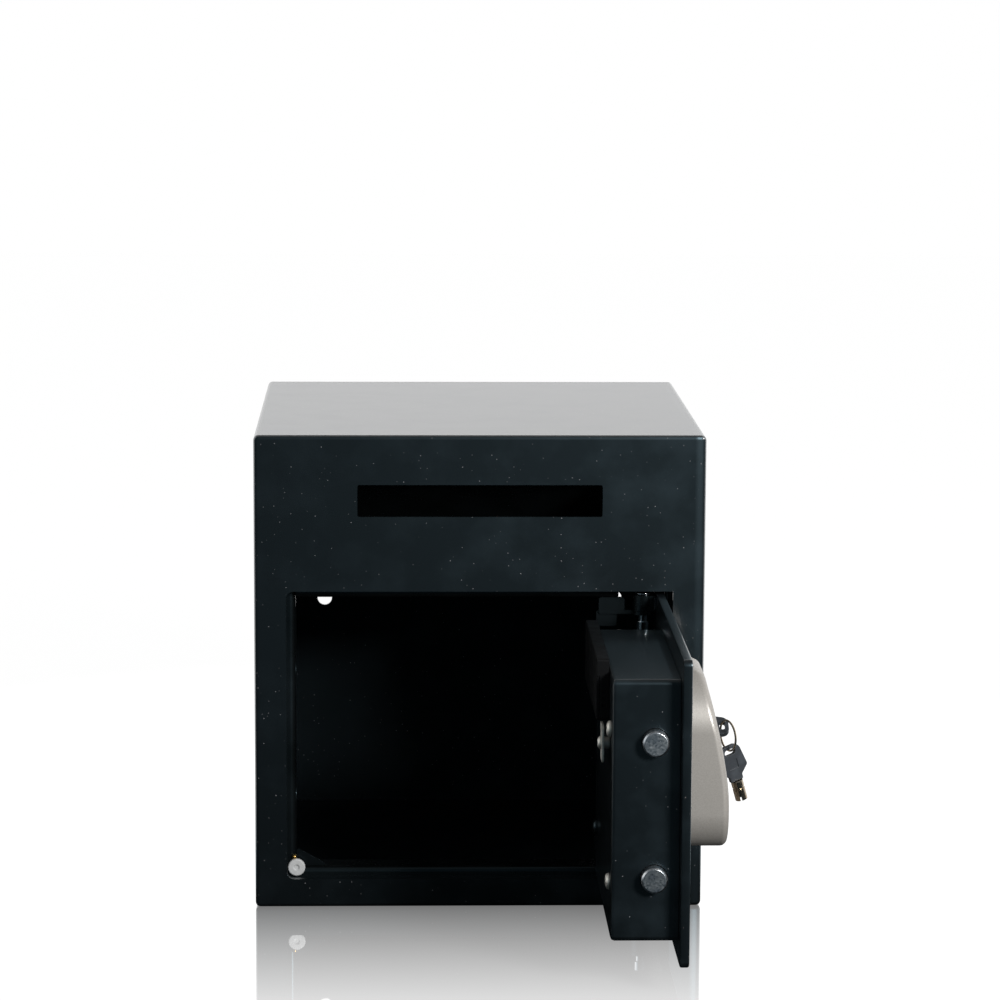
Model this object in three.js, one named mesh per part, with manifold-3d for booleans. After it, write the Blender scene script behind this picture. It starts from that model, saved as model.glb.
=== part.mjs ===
// A drop safe with an open deposit slot, modelled with its door standing open.
// Millimetres, +Z up. The front faces -Y, +X is to the right, and the origin lies
// on the underside, at the middle of the body.

import * as THREE from 'three';
import { mergeVertices } from 'three/addons/utils/BufferGeometryUtils.js';
import Module from 'manifold-3d';

const wasm = await Module();
wasm.setup();

// Driving dimensions. Depths count from the face of the front panel, heights from the
// underside, and positions across from the middle of the body.

const gap = 0.3;
const overrun = 5;

const body = { depth: 356, height: 380, sheet: 3, bend: 4 };
const panel = { thickness: 4, edge: 3.2 };
const back = { thickness: 3, edge: 1.2, anchorSpread: 257.5, anchorHeight: 187, anchorHole: 12.7 };
const doorway = { width: 306, border: 25, height: 233, sill: 23, corner: 6, recess: 11, fold: 3 };
const slot = { width: 193, height: 25.4, bandShare: 0.58306, corner: 1.5 };
const jamb = { sheet: 3, bend: 4.5, lip: 7, lap: 9, boltDepth: 38.7, depth: 28, hem: 12 };

const hinge = {
  fromEdge: 22.5, behind: 16.5, knuckle: 8.5, knuckleLength: 12.3, knuckleInset: 2.2, seat: 5,
  pin: 4, head: 7, headHeight: 2.2, collar: 5.5, collarLength: 8, shank: 5.7, chamfer: 0.8,
};
const bracket = {
  sheet: 3, nose: 9, left: 35.5, front: 1.5, neck: 3, back: 43.5, ear: 27.5, taper: 18,
  upstand: 20.5, tab: 14.5, tabDrop: 10, tabBack: 1.5, tabOut: 1.8, bend: 2,
};
const post = { sheet: 3, bend: 4.5, front: 46, depth: 16, width: 24.7 };
const pocket = { width: 42.5 };

// The heights of the hood and the comb are shares of the room over and under the slot.
const baffle = {
  sheet: 1.5, bendShare: 0.3125, side: 7.5, creaseShare: 0.15385, topShare: 0.5641, run: 66,
  bottomShare: 0.45205, clear: 3,
};
const comb = {
  sheet: 1.5, bendShare: 0.2105, belowShare: 0.09454, flangeShare: 0.39916, run: 40,
  fallShare: 0.58824, tooth: 8, pitch: 12,
};
const cheek = { sheet: 1.5, frontShare: 0.44118, foot: 36, corner: 6 };

const bumper = { radius: 7, height: 3.4, dimple: 1.6, dimpleDepth: 1, edge: 0.8, stem: 2.4, aside: 0.5 };
const gusset = { width: 27, height: 15, sheet: 2.5, corner: 1.5 };

const door = {
  gap: 3, footGap: 1.2, thickness: 7, latchCorner: 5, hingeCorner: 2, edge: 1.3, openAngle: 90,
};
const box = {
  latchInset: 14, pastKnob: 62, height: 193, drop: 2, depth: 49.7, wall: 2, edge: 3, corner: 4,
};
const stiffener = { thickness: 3.7, play: 1.2, shortOfBox: 23, corner: 2 };
const bolt = {
  radius: 9.75, fromBoxEnd: 45.8, behind: 25.6, out: 8.8, travel: 19.2, chamfer: 1.3,
  spigot: 4.2, rivet: 5.3, rivetHeight: 2, window: 0.6,
};
const carriage = {
  sheet: 4, bend: 5, fromEnd: 44, front: 16, flange: 22, pastBolts: 4.8, arm: 47, armEnd: 20,
  shoulder: 6, plateEnd: -20, corner: 3,
};
const guide = { sheet: 3, bend: 4, fromEnd: 5, foot: 19, lug: 21, pastBolts: 18.8 };
const endBracket = { foot: 14, lug: 20, fromEnd: 26 };
const guidePost = { across: -50, shortOfBolts: 5.7, radius: 4, head: 6.5, headHeight: 2.5 };
const coverScrew = { inset: 16, pastBolts: 6.3, shank: 2.5 };

const knob = {
  height: 121, skirt: 21, skirtHeight: 5, hub: 15.5, hubHeight: 15, grip: 9, gripLength: 38,
  gripHeight: 21, edge: 1.5, spindle: 5, turn: 90,
};
const crank = { thickness: 4, hub: 9, end: 6, pin: 3, play: 0.5, front: 0.4, reach: 5.6 };
const solenoid = {
  across: -17, underBoxTop: 36, width: 30, height: 24, depth: 18, coil: 8, plunger: 2.6, corner: 2,
};

const housing = {
  width: 112, height: 138.2, bottom: 86.1, rise: 36.8, rim: 5, flat: 1.8, lip: 1.6, draft: 1.6,
  floor: 8, corner: 30, topCorner: 46.5, crestEnd: 34.9, crestPull: 64, shoulder: 128.1,
  shoulderRise: 19.8, crown: 4.1,
};
const keypad = {
  width: 58, height: 28.6, thickness: 2.6, corner: 12, middle: 198.3, edge: 0.6,
  columns: 4, rows: 3, pitchAcross: 13.6, pitchUp: 7.6, rowShift: -2.2,
  key: 10.6, keyTall: 6.2, keyCorner: 1.6, keyEdge: 0.5, keyDepth: 3.3, keySink: 0.9,
  light: 1.2, lightSpread: 9, lightInset: 3, strip: 1,
};
const lock = {
  height: 171.5, barrel: 9.5, flange: 12, flangeHeight: 2, edge: 0.6, core: 6.1, wall: 0.3,
  behind: 20, pocket: 5.05, pocketDepth: 16, postRadius: 2.6, postSink: 4.2,
  cam: 2.5, camHub: 7, camReach: 24, camEnd: 4.5,
};
const key = {
  bow: 29, neck: 5.5, neckLength: 4, shoulder: 12, shoulderAt: 10, crown: 8.5, thickness: 3.8, edge: 0.5,
  hole: 4.6, holeSpan: 9.4, holeInset: 2.7, recess: 8, recessTall: 7.5, recessDepth: 0.7, recessAt: 13.5,
  barrel: 4.75, bore: 3.1, barrelLength: 15.5, boreDepth: 12, collar: 5.2, collarLength: 3,
  slit: 1.2, slitDepth: 5,
  groove: 0.5, grooveAt: 4.6, grooveLength: 1.6, standOff: 1.1, turn: 60,
};
const ring = { radius: 11.7, wire: 0.85, out: 27.8, aside: -10.1, lift: 0.4, lean: 24.9, roll: -22.5 };
const spare = { tilt: 19, seat: 1.1 };

const battery = { radius: 7.1, length: 50.2, capRadius: 2.7, cap: 1.2, rowGap: 0.7, edge: 0.6 };
const holder = {
  bayShare: 0.47197, length: 156, underBoxTop: 38, height: 46, proud: 9.5, sink: 10,
  wall: 1.6, edge: 2, bayStart: 2, ribs: 3, ribWidth: 2.4, ribPitch: 5, ribDepth: 0.8, throat: 1,
};
const slideCover = {
  thickness: 2, margin: 4, dovetail: 1.2, travel: 30,
  grips: 5, gripPitch: 4, gripWidth: 1.6, gripDepth: 0.6,
};
const strap = { width: 22, height: 27, sheet: 1.5, corner: 2.5, away: 21, spacer: 4.5, screw: 2, hold: 13 };

// Places that follow from the dimensions above.

const doorLeft = -doorway.width / 2;
const doorRight = doorway.width / 2;
const lintel = doorway.sill + doorway.height;
const bodyWidth = doorway.width + 2 * doorway.border;
const innerX = bodyWidth / 2 - body.sheet;
const lipFront = doorway.recess + gap;
const pocketStart = doorRight - pocket.width;
const pivotX = doorRight - hinge.fromEdge;
const pivotY = hinge.behind;
const plateLeft = doorLeft + door.gap;
const plateRight = doorRight - door.gap;
const plateBottom = doorway.sill + door.footGap;
const plateTop = lintel - door.gap;
const doorMiddle = (doorway.sill + lintel) / 2;
const slotMiddle = lintel + slot.bandShare * (body.height - lintel);
const slotTop = slotMiddle + slot.height / 2;
const slotBottom = slotMiddle - slot.height / 2;
const stiffFront = door.thickness + gap;
const stiffBack = stiffFront + stiffener.thickness;
const workFront = stiffBack + gap;
const boxFront = door.thickness + gap;
const boxBack = boxFront + box.depth;
const boxLeft = plateLeft + box.latchInset;
const boxRight = box.pastKnob;
const boxBottom = doorMiddle - box.height / 2 - box.drop;
const boxTop = doorMiddle + box.height / 2;
const boltRise = box.height / 2 - bolt.fromBoxEnd;
const screwRise = boltRise + coverScrew.pastBolts;
const postRise = boltRise - guidePost.shortOfBolts;
const guideHalf = boltRise + guide.pastBolts;
const carriageHalf = boltRise + carriage.pastBolts;
const endPlace = boxRight - endBracket.fromEnd;
const bayWidth = 2 * (holder.wall + battery.length + battery.cap) + 3 * gap;
const bayLeft = boxLeft + holder.bayShare * (boxRight - boxLeft) - bayWidth / 2;
const bayRight = bayLeft + bayWidth;
const holderLeft = bayLeft - holder.bayStart;
const holderBottom = boxTop - holder.underBoxTop;
const lugBack = boxBack - box.wall - gap;
const tailX = boxLeft + carriage.fromEnd;
const crankArm = bolt.travel / 2 / Math.sin(THREE.MathUtils.degToRad(knob.turn / 2));
const keypadFront = housing.floor + gap + keypad.thickness;
const lockFace = housing.floor + gap + lock.flangeHeight;

// Shapes and solids.

const CURVE = 3;
const quarter = Math.PI / 2;

function toSolid(geometry) {
  const plain = geometry.index ? geometry.toNonIndexed() : geometry.clone();
  plain.deleteAttribute('normal');
  plain.deleteAttribute('uv');
  const merged = mergeVertices(plain);
  const corners = [];
  for (let i = 0; i < merged.index.count; i += 3) {
    const [a, b, c] = [merged.index.getX(i), merged.index.getX(i + 1), merged.index.getX(i + 2)];
    if (a !== b && b !== c && c !== a) corners.push(a, b, c);
  }
  return new wasm.Manifold(new wasm.Mesh({
    numProp: 3,
    vertProperties: merged.attributes.position.array,
    triVerts: new Uint32Array(corners),
  }));
}

function toGeometry(solid) {
  const mesh = solid.getMesh();
  const geometry = new THREE.BufferGeometry();
  geometry.setAttribute('position', new THREE.Float32BufferAttribute(mesh.vertProperties, 3));
  geometry.setIndex(new THREE.Uint32BufferAttribute(mesh.triVerts, 1));
  geometry.computeVertexNormals();
  return geometry;
}

function join(...solids) {
  return solids.reduce((whole, solid) => whole.add(solid));
}

function cutFrom(solid, ...cutters) {
  return cutters.reduce((rest, cutter) => rest.subtract(cutter), solid);
}

// Draws to a corner and round it with an arc.
function fillet(path, before, corner, after, radius) {
  const into = corner.clone().sub(before).normalize();
  const out = after.clone().sub(corner).normalize();
  const turn = into.cross(out);
  const angle = Math.acos(THREE.MathUtils.clamp(into.dot(out), -1, 1));
  if (radius <= 0 || angle === 0) {
    path.lineTo(corner.x, corner.y);
    return;
  }
  const reach = radius * Math.tan(angle / 2);
  const side = Math.sign(turn);
  const start = corner.clone().addScaledVector(into, -reach);
  const centre = start.clone().add(new THREE.Vector2(-into.y, into.x).multiplyScalar(radius * side));
  const first = Math.atan2(start.y - centre.y, start.x - centre.x);
  path.lineTo(start.x, start.y);
  path.absarc(centre.x, centre.y, radius, first, first + side * angle, side < 0);
}

// A closed outline with rounded corners. A list of radii follows the corners.
function outline(points, radius = 0) {
  const corners = points.map(([x, y]) => new THREE.Vector2(x, y));
  const count = corners.length;
  const shape = new THREE.Shape();
  const start = corners[count - 1].clone().lerp(corners[0], 1 / 2);
  shape.moveTo(start.x, start.y);
  corners.forEach((corner, i) => {
    const before = corners[(i + count - 1) % count];
    const after = corners[(i + 1) % count];
    fillet(shape, before, corner, after, Array.isArray(radius) ? radius[i] : radius);
  });
  shape.lineTo(start.x, start.y);
  return shape;
}

function rectangle(x0, y0, x1, y1, radius = 0) {
  return outline([[x0, y0], [x1, y0], [x1, y1], [x0, y1]], radius);
}

// A circle in four arcs, so that it gets as many facets in each as a rounded corner.
function disc(x, y, radius) {
  const shape = new THREE.Shape();
  shape.moveTo(x + radius, y);
  for (let i = 0; i < 4; i += 1) {
    shape.absarc(x, y, radius, i * quarter, (i + 1) * quarter, false);
  }
  return shape;
}

// A slot with round ends round the line between two points.
function capsule(x0, y0, x1, y1, radius) {
  const angle = Math.atan2(y1 - y0, x1 - x0);
  const shape = new THREE.Shape();
  shape.absarc(x1, y1, radius, angle - quarter, angle, false);
  shape.absarc(x1, y1, radius, angle, angle + quarter, false);
  shape.absarc(x0, y0, radius, angle + quarter, angle + 2 * quarter, false);
  shape.absarc(x0, y0, radius, angle + 2 * quarter, angle + 3 * quarter, false);
  shape.closePath();
  return shape;
}

// The section of a folded sheet. The points run along one skin, and the sheet lies to the
// left of them, or to the right where the thickness is negative.
function folded(points, thickness, bend) {
  const skin = points.map(([x, y]) => new THREE.Vector2(x, y));
  const sheet = Math.abs(thickness);
  const normals = skin.slice(1).map((point, i) => {
    const run = point.clone().sub(skin[i]).normalize();
    return new THREE.Vector2(-run.y, run.x);
  });
  const other = skin.map((point, i) => {
    const a = normals[Math.max(i - 1, 0)];
    const b = normals[Math.min(i, normals.length - 1)];
    return point.clone().addScaledVector(a.clone().add(b), thickness / (1 + a.dot(b)));
  });
  const turns = normals.slice(1).map((normal, i) => Math.sign(normals[i].cross(normal) * thickness));
  const shape = new THREE.Shape();
  shape.moveTo(skin[0].x, skin[0].y);
  turns.forEach((turn, i) => {
    fillet(shape, skin[i], skin[i + 1], skin[i + 2], turn > 0 ? bend : bend - sheet);
  });
  const last = skin.length - 1;
  shape.lineTo(skin[last].x, skin[last].y);
  shape.lineTo(other[last].x, other[last].y);
  for (let i = turns.length - 1; i >= 0; i -= 1) {
    fillet(shape, other[i + 2], other[i + 1], other[i], turns[i] > 0 ? bend - sheet : bend);
  }
  shape.lineTo(other[0].x, other[0].y);
  shape.closePath();
  return shape;
}

// An extrusion from 0 to its depth, with its edges rounded inside the outline.
function extrusion(shape, depth, edge = 0, curve = CURVE) {
  const geometry = new THREE.ExtrudeGeometry(shape, {
    depth: depth - 2 * edge,
    curveSegments: curve,
    bevelEnabled: edge > 0,
    bevelThickness: edge,
    bevelSize: edge,
    bevelOffset: -edge,
    bevelSegments: 2,
  });
  return geometry.translate(0, 0, edge);
}

// The shape's axes are x and y here, x and z in alongY, and y and z in alongX.
function alongZ(shape, low, high, edge, curve) {
  return toSolid(extrusion(shape, high - low, edge, curve).translate(0, 0, low));
}

function alongY(shape, near, far, edge, curve) {
  return toSolid(extrusion(shape, far - near, edge, curve).rotateX(quarter).translate(0, far, 0));
}

function alongX(shape, left, right, edge, curve) {
  const turn = new THREE.Matrix4().makeBasis(
    new THREE.Vector3(0, 1, 0), new THREE.Vector3(0, 0, 1), new THREE.Vector3(1, 0, 0),
  );
  return toSolid(extrusion(shape, right - left, edge, curve).applyMatrix4(turn).translate(left, 0, 0));
}

// A turned solid about +Z. The profile is a list of [radius, height] that starts and ends
// on the axis or closes on itself.
function turned(profile, segments = 20) {
  const points = profile.map(([radius, height]) => new THREE.Vector2(radius, height));
  return toSolid(new THREE.LatheGeometry(points, segments).rotateX(quarter));
}

function placed(solid, matrix) {
  const geometry = toGeometry(solid).applyMatrix4(matrix);
  return toSolid(geometry);
}

function moved(solid, x, y, z) {
  return placed(solid, new THREE.Matrix4().makeTranslation(x, y, z));
}

// Turned solids point along +Z. These lay them along the way named.
function facing(solid, x, y, z, way) {
  const ways = {
    front: new THREE.Matrix4().makeRotationX(quarter),
    back: new THREE.Matrix4().makeRotationX(-quarter),
    left: new THREE.Matrix4().makeRotationY(-quarter),
    down: new THREE.Matrix4().makeRotationX(2 * quarter),
    up: new THREE.Matrix4(),
  };
  return placed(solid, ways[way].setPosition(x, y, z));
}

// The mirror image of a solid in a level plane.
function mirrored(solid, level) {
  const geometry = toGeometry(solid).toNonIndexed();
  const flip = new THREE.Matrix4().makeScale(1, 1, -1).setPosition(0, 0, 2 * level);
  geometry.applyMatrix4(flip);
  const positions = geometry.attributes.position;
  for (let i = 0; i < positions.count; i += 3) {
    const a = new THREE.Vector3().fromBufferAttribute(positions, i);
    const b = new THREE.Vector3().fromBufferAttribute(positions, i + 1);
    positions.setXYZ(i, b.x, b.y, b.z);
    positions.setXYZ(i + 1, a.x, a.y, a.z);
  }
  return toSolid(geometry);
}

// A skin between rings of equally many points, closed by a flat cap at each end. The rings
// run against the clock as seen from where the last one faces.
function lofted(rings) {
  const count = rings[0].length;
  const middle = (ring) => (
    ring.reduce((sum, point) => sum.add(point), new THREE.Vector3()).divideScalar(count)
  );
  const points = [...rings.flat(), middle(rings[0]), middle(rings[rings.length - 1])];
  const [firstCap, lastCap] = [points.length - 2, points.length - 1];
  const lastRow = (rings.length - 1) * count;
  const index = [];
  for (let i = 0; i < count; i += 1) {
    const next = (i + 1) % count;
    for (let row = 0; row < lastRow; row += count) {
      index.push(row + i, row + next, row + count + next, row + i, row + count + next, row + count + i);
    }
    index.push(firstCap, next, i, lastCap, lastRow + i, lastRow + next);
  }
  const geometry = new THREE.BufferGeometry().setFromPoints(points);
  geometry.setIndex(index);
  return toSolid(geometry);
}

// Finishes.

const finish = {
  blackPaint: { color: 0x14181b, roughness: 0.35, metalness: 0.1 },
  innerPaint: { color: 0x101315, roughness: 0.45, metalness: 0.1 },
  chrome: { color: 0xc9cdd2, roughness: 0.12, metalness: 1 },
  zinc: { color: 0xa8abab, roughness: 0.4, metalness: 1 },
  steel: { color: 0x8b8e90, roughness: 0.35, metalness: 1 },
  rubber: { color: 0x7d7f80, roughness: 0.7, metalness: 0 },
  blackPlastic: { color: 0x1b1c1e, roughness: 0.5, metalness: 0 },
  silverPaint: { color: 0xb9b4ac, roughness: 0.4, metalness: 0.6 },
  keyPlastic: { color: 0x2c2e31, roughness: 0.55, metalness: 0 },
  keyCap: { color: 0xd2d3d2, roughness: 0.5, metalness: 0 },
  nickel: { color: 0xb9b2a4, roughness: 0.25, metalness: 1 },
  cell: { color: 0x3a3f45, roughness: 0.4, metalness: 0.3 },
  greenLens: { color: 0x4aa060, roughness: 0.2, metalness: 0 },
};

function part(name, solid, look, group) {
  const mesh = new THREE.Mesh(toGeometry(solid), new THREE.MeshStandardMaterial(look));
  mesh.name = name;
  group.add(mesh);
  return mesh;
}

// Body.

function bodyShell() {
  const { height, depth, sheet, bend } = body;
  const near = panel.thickness + gap;
  const far = depth - back.thickness - gap;
  const outer = rectangle(-bodyWidth / 2, 0, bodyWidth / 2, height, bend);
  outer.holes.push(rectangle(-innerX, sheet, innerX, height - sheet, bend - sheet));
  return alongY(outer, near, far);
}

// A panel that closes an end of the shell. Only its outer edge is rounded.
function endPanel(near, far, edge, outward) {
  const face = rectangle(-bodyWidth / 2, 0, bodyWidth / 2, body.height, body.bend);
  const thick = far - near;
  const whole = outward < 0 ? alongY(face, near, far + thick, edge) : alongY(face, near - thick, far, edge);
  const room = rectangle(-bodyWidth, -overrun, bodyWidth, body.height + overrun);
  const spare = outward < 0 ? alongY(room, far, far + 2 * thick) : alongY(room, near - 2 * thick, near);
  return cutFrom(whole, spare);
}

function frontPanel() {
  const { corner, fold, recess, sill } = doorway;
  const hole = rectangle(doorLeft, sill, doorRight, lintel, [corner, 0, 0, corner]);
  const rim = rectangle(
    doorLeft - fold, sill - fold, pocketStart, lintel + fold, [corner + fold, 0, 0, corner + fold],
  );
  const slotHole = rectangle(-slot.width / 2, slotBottom, slot.width / 2, slotTop, slot.corner);
  return cutFrom(
    join(endPanel(0, panel.thickness, panel.edge, -1), alongY(rim, panel.thickness / 2, recess)),
    alongY(hole, -overrun, recess + overrun),
    alongY(slotHole, -overrun, panel.thickness + overrun),
  );
}

function backPanel() {
  const near = body.depth - back.thickness;
  const holes = [-1, 1].map((side) => alongY(
    disc(side * back.anchorSpread / 2, back.anchorHeight, back.anchorHole / 2),
    near - overrun, body.depth + overrun,
  ));
  return cutFrom(endPanel(near, body.depth, back.edge, 1), ...holes);
}

// The latch side's jamb is a channel against the side wall. The bolts enter its web.
function leftJamb() {
  const lipEdge = doorLeft + jamb.lip;
  const webBack = lipFront + jamb.boltDepth;
  const section = folded([
    [doorLeft - jamb.lap, lipFront],
    [lipEdge, lipFront],
    [lipEdge, webBack],
    [-innerX + gap, webBack],
  ], jamb.sheet, jamb.bend);
  const holes = [-1, 1].map((side) => alongX(
    disc(bolt.behind, doorMiddle + side * boltRise, bolt.radius + 2 * bolt.window),
    lipEdge - jamb.sheet - overrun, lipEdge + overrun,
  ));
  return cutFrom(alongZ(section, doorway.sill - jamb.lap, lintel + jamb.lap), ...holes);
}

// The strips above and below the doorway. They stop where the hinge pocket starts.
function levelJamb(edge, outward, end) {
  const section = folded([
    [lipFront, edge + outward * jamb.lap],
    [lipFront, edge - outward * jamb.lip],
    [lipFront + jamb.depth, edge - outward * jamb.lip],
    [lipFront + jamb.depth, end],
  ], outward * jamb.sheet, jamb.bend);
  return alongX(section, doorLeft + jamb.lip + gap, pocketStart);
}

function hingePost() {
  const face = innerX - gap - post.width;
  const section = folded([
    [innerX - gap, post.front],
    [face, post.front],
    [face, post.front + post.depth],
    [innerX - gap, post.front + post.depth],
  ], -post.sheet, post.bend);
  return alongZ(section, doorway.sill - jamb.lap, lintel + jamb.lap);
}

// Hinge. The upper set is modelled, and the lower one is its mirror image.

const knuckleTop = plateTop - hinge.knuckleInset;
const knuckleBottom = knuckleTop - hinge.knuckleLength;
const leafTop = knuckleBottom - gap;
const leafBottom = leafTop - bracket.sheet;

function hingeBracket() {
  const left = pivotX - bracket.left;
  const front = pivotY - bracket.front;
  const neck = pivotX + bracket.neck;
  const rear = pivotY + bracket.back;
  const shelf = pivotY + bracket.ear;
  const ear = innerX - post.width - 2 * gap;
  const arm = outline([
    [left, front], [neck, front], [neck, shelf], [ear, shelf], [ear, rear],
    [left + bracket.taper, rear], [left, rear - bracket.taper],
  ], [bracket.bend, 0, bracket.bend, 0, bracket.bend, bracket.bend, bracket.bend]);
  const upright = rectangle(
    left, leafBottom, left + bracket.upstand, lintel - jamb.lip - gap, bracket.bend,
  );
  const tabLeft = left - bracket.tabOut;
  const tabFront = front + bracket.tabBack;
  const tab = rectangle(
    tabLeft, leafBottom - bracket.tabDrop, left + bracket.tab, leafTop, bracket.bend,
  );
  return cutFrom(
    join(
      alongZ(arm, leafBottom, leafTop),
      alongZ(disc(pivotX, pivotY, bracket.nose), leafBottom, leafTop),
      alongY(upright, front, front + bracket.sheet),
      alongY(tab, tabFront, tabFront + bracket.sheet),
    ),
    alongZ(disc(pivotX, pivotY, hinge.pin + gap), leafBottom - overrun, leafTop + overrun),
  );
}

function hingePin() {
  const headBottom = knuckleTop + gap;
  const headTop = headBottom + hinge.headHeight;
  const collarTop = leafBottom - hinge.shank;
  const collarBottom = collarTop - hinge.collarLength;
  return moved(turned([
    [0, collarBottom],
    [hinge.collar - hinge.chamfer, collarBottom],
    [hinge.collar, collarBottom + hinge.chamfer],
    [hinge.collar, collarTop],
    [hinge.pin, collarTop],
    [hinge.pin, headBottom],
    [hinge.head, headBottom],
    [hinge.head, headTop - hinge.chamfer],
    [hinge.head - hinge.chamfer, headTop],
    [0, headTop],
  ]), pivotX, pivotY, 0);
}

function knuckle() {
  const seat = rectangle(
    pivotX - hinge.knuckle, door.thickness + gap, pivotX + hinge.knuckle, door.thickness + gap + hinge.seat,
  );
  return cutFrom(
    join(
      alongZ(disc(pivotX, pivotY, hinge.knuckle), knuckleBottom, knuckleTop),
      alongZ(seat, knuckleBottom, knuckleTop),
    ),
    alongZ(disc(pivotX, pivotY, hinge.pin + gap), knuckleBottom - overrun, knuckleTop + overrun),
  );
}

// Deposit chute: a hood with two cheeks that turns what is dropped downwards, and a comb
// that stops hooks and fingers.

const chuteFront = panel.thickness + gap;
const chuteHalf = slot.width / 2 + baffle.side;
const chuteLow = lintel + jamb.lap + baffle.clear;

function chuteHood() {
  const crease = slotTop + baffle.creaseShare * (body.height - slotTop);
  const top = slotTop + baffle.topShare * (body.height - slotTop);
  const rear = chuteFront + baffle.run;
  const hoodEnd = chuteLow + baffle.bottomShare * (slotTop - chuteLow);
  const low = chuteLow;
  const section = folded([
    [chuteFront, top], [chuteFront, crease], [rear, hoodEnd], [rear, low],
  ], baffle.sheet, baffle.bendShare * (top - crease));
  const cheekShape = outline([
    [chuteFront, low + cheek.frontShare * (slotBottom - low)], [cheek.foot, low], [rear, low],
    [rear, hoodEnd], [chuteFront + top - crease, top], [chuteFront, top],
  ], [0, cheek.corner, cheek.corner, cheek.corner, cheek.corner, 0]);
  const outer = chuteHalf + cheek.sheet;
  return join(
    alongX(section, -outer, outer),
    alongX(cheekShape, -outer, -chuteHalf),
    alongX(cheekShape, chuteHalf, outer),
  );
}

function fishComb() {
  const room = slotBottom - chuteLow;
  const crease = slotBottom - comb.belowShare * room;
  const rampEnd = [chuteFront + comb.run, crease - comb.fallShare * room];
  const section = folded([
    [chuteFront, crease - comb.flangeShare * room],
    [chuteFront, crease],
    rampEnd,
  ], -comb.sheet, comb.bendShare * comb.flangeShare * room);
  const teeth = [];
  for (let x = -chuteHalf; x < chuteHalf; x += comb.pitch) {
    const root = rampEnd[0] - comb.tooth;
    const tip = rampEnd[0] + overrun;
    const widen = comb.pitch * overrun / comb.tooth / 2;
    teeth.push(alongZ(
      outline([[x + comb.pitch / 2, root], [x + comb.pitch + widen, tip], [x - widen, tip]]),
      rampEnd[1] - overrun, crease,
    ));
  }
  return cutFrom(alongX(section, gap - chuteHalf, chuteHalf - gap), ...teeth);
}

// Door stop at the lower latch corner.

const bumperX = doorLeft + jamb.lip + bumper.aside;
const bumperZ = doorway.sill + jamb.lip + bumper.aside;
const gussetFront = lipFront + jamb.sheet + gap;

function bumperGusset() {
  const left = doorLeft + jamb.lip + gap;
  const bottom = doorway.sill + jamb.lip + gap;
  const plate = outline([[left, bottom], [left + gusset.width, bottom], [left, bottom + gusset.height]], [
    0, gusset.corner, gusset.corner,
  ]);
  return cutFrom(
    alongY(plate, gussetFront, gussetFront + gusset.sheet),
    holeThrough(bumperX, bumperZ, bumper.stem + gap, gussetFront, gussetFront + gusset.sheet),
  );
}

function doorBumper() {
  const { radius, height, dimple, dimpleDepth, edge } = bumper;
  return facing(turned([
    [0, 0],
    [radius, 0],
    [radius, height - edge],
    [radius - edge, height],
    [dimple + dimpleDepth, height],
    [dimple, height - dimpleDepth],
    [0, height - dimpleDepth],
  ]), bumperX, lipFront - gap, bumperZ, 'front');
}

// Door.

function holeThrough(x, z, radius, near, far) {
  return alongY(disc(x, z, radius), near - overrun, far + overrun);
}

function doorHoles(near, far) {
  return [
    holeThrough(0, knob.height, knob.spindle + 2 * gap, near, far),
    holeThrough(0, lock.height, lock.barrel + gap, near, far),
    holeThrough(keypad.width / 3, lock.height, knob.spindle, near, far),
  ];
}

function doorPlate() {
  const { latchCorner, hingeCorner, thickness, edge } = door;
  const face = rectangle(
    plateLeft, plateBottom, plateRight, plateTop, [latchCorner, hingeCorner, hingeCorner, latchCorner],
  );
  return cutFrom(alongY(face, 0, thickness, edge), ...doorHoles(0, thickness));
}

function doorStiffener() {
  const inset = box.wall + stiffener.play;
  const face = rectangle(
    boxLeft + inset, boxBottom + inset, boxRight - stiffener.shortOfBox, boxTop - inset,
    stiffener.corner,
  );
  return cutFrom(alongY(face, stiffFront, stiffBack), ...doorHoles(stiffFront, stiffBack));
}

const screwPlaces = [boxLeft + coverScrew.inset, boxRight - coverScrew.inset].flatMap((x) => (
  [-1, 1].map((side) => [x, doorMiddle + side * screwRise])
));

const bayBottom = holderBottom + holder.throat;
const bayTop = bayBottom + 2 * (holder.wall + gap) + 4 * battery.radius + battery.rowGap;

function boltCover() {
  const face = rectangle(boxLeft, boxBottom, boxRight, boxTop, box.corner);
  const inside = rectangle(
    boxLeft + box.wall, boxBottom + box.wall, boxRight - box.wall, boxTop - box.wall, box.corner - box.wall,
  );
  const room = rectangle(boxLeft - overrun, boxBottom - overrun, boxRight + overrun, boxTop + overrun);
  const tray = cutFrom(
    alongY(face, boxFront - box.depth, boxBack, box.edge),
    alongY(room, boxFront - box.depth - overrun, boxFront),
    alongY(inside, boxFront - overrun, boxBack - box.wall),
  );
  const boltHoles = [-1, 1].map((side) => alongX(
    disc(bolt.behind, doorMiddle + side * boltRise, bolt.radius + bolt.window),
    boxLeft - overrun, boxLeft + box.wall + overrun,
  ));
  const screwHoles = screwPlaces.map(([x, z]) => (
    holeThrough(x, z, coverScrew.shank + gap, boxBack - box.wall, boxBack)
  ));
  const bay = rectangle(bayLeft - gap, bayBottom - gap, bayRight + gap, bayTop + gap);
  const bayHole = alongY(bay, boxBack - box.wall - overrun, boxBack + overrun);
  return cutFrom(tray, ...boltHoles, ...screwHoles, bayHole);
}

// Brackets that stand between the stiffener and the back of the cover and take its screws.

function tappedHoles(x) {
  return screwPlaces.filter(([place]) => Math.sign(place) === Math.sign(x)).map(([place, z]) => (
    holeThrough(place, z, coverScrew.shank + gap, lugBack - guide.sheet, lugBack)
  ));
}

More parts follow.
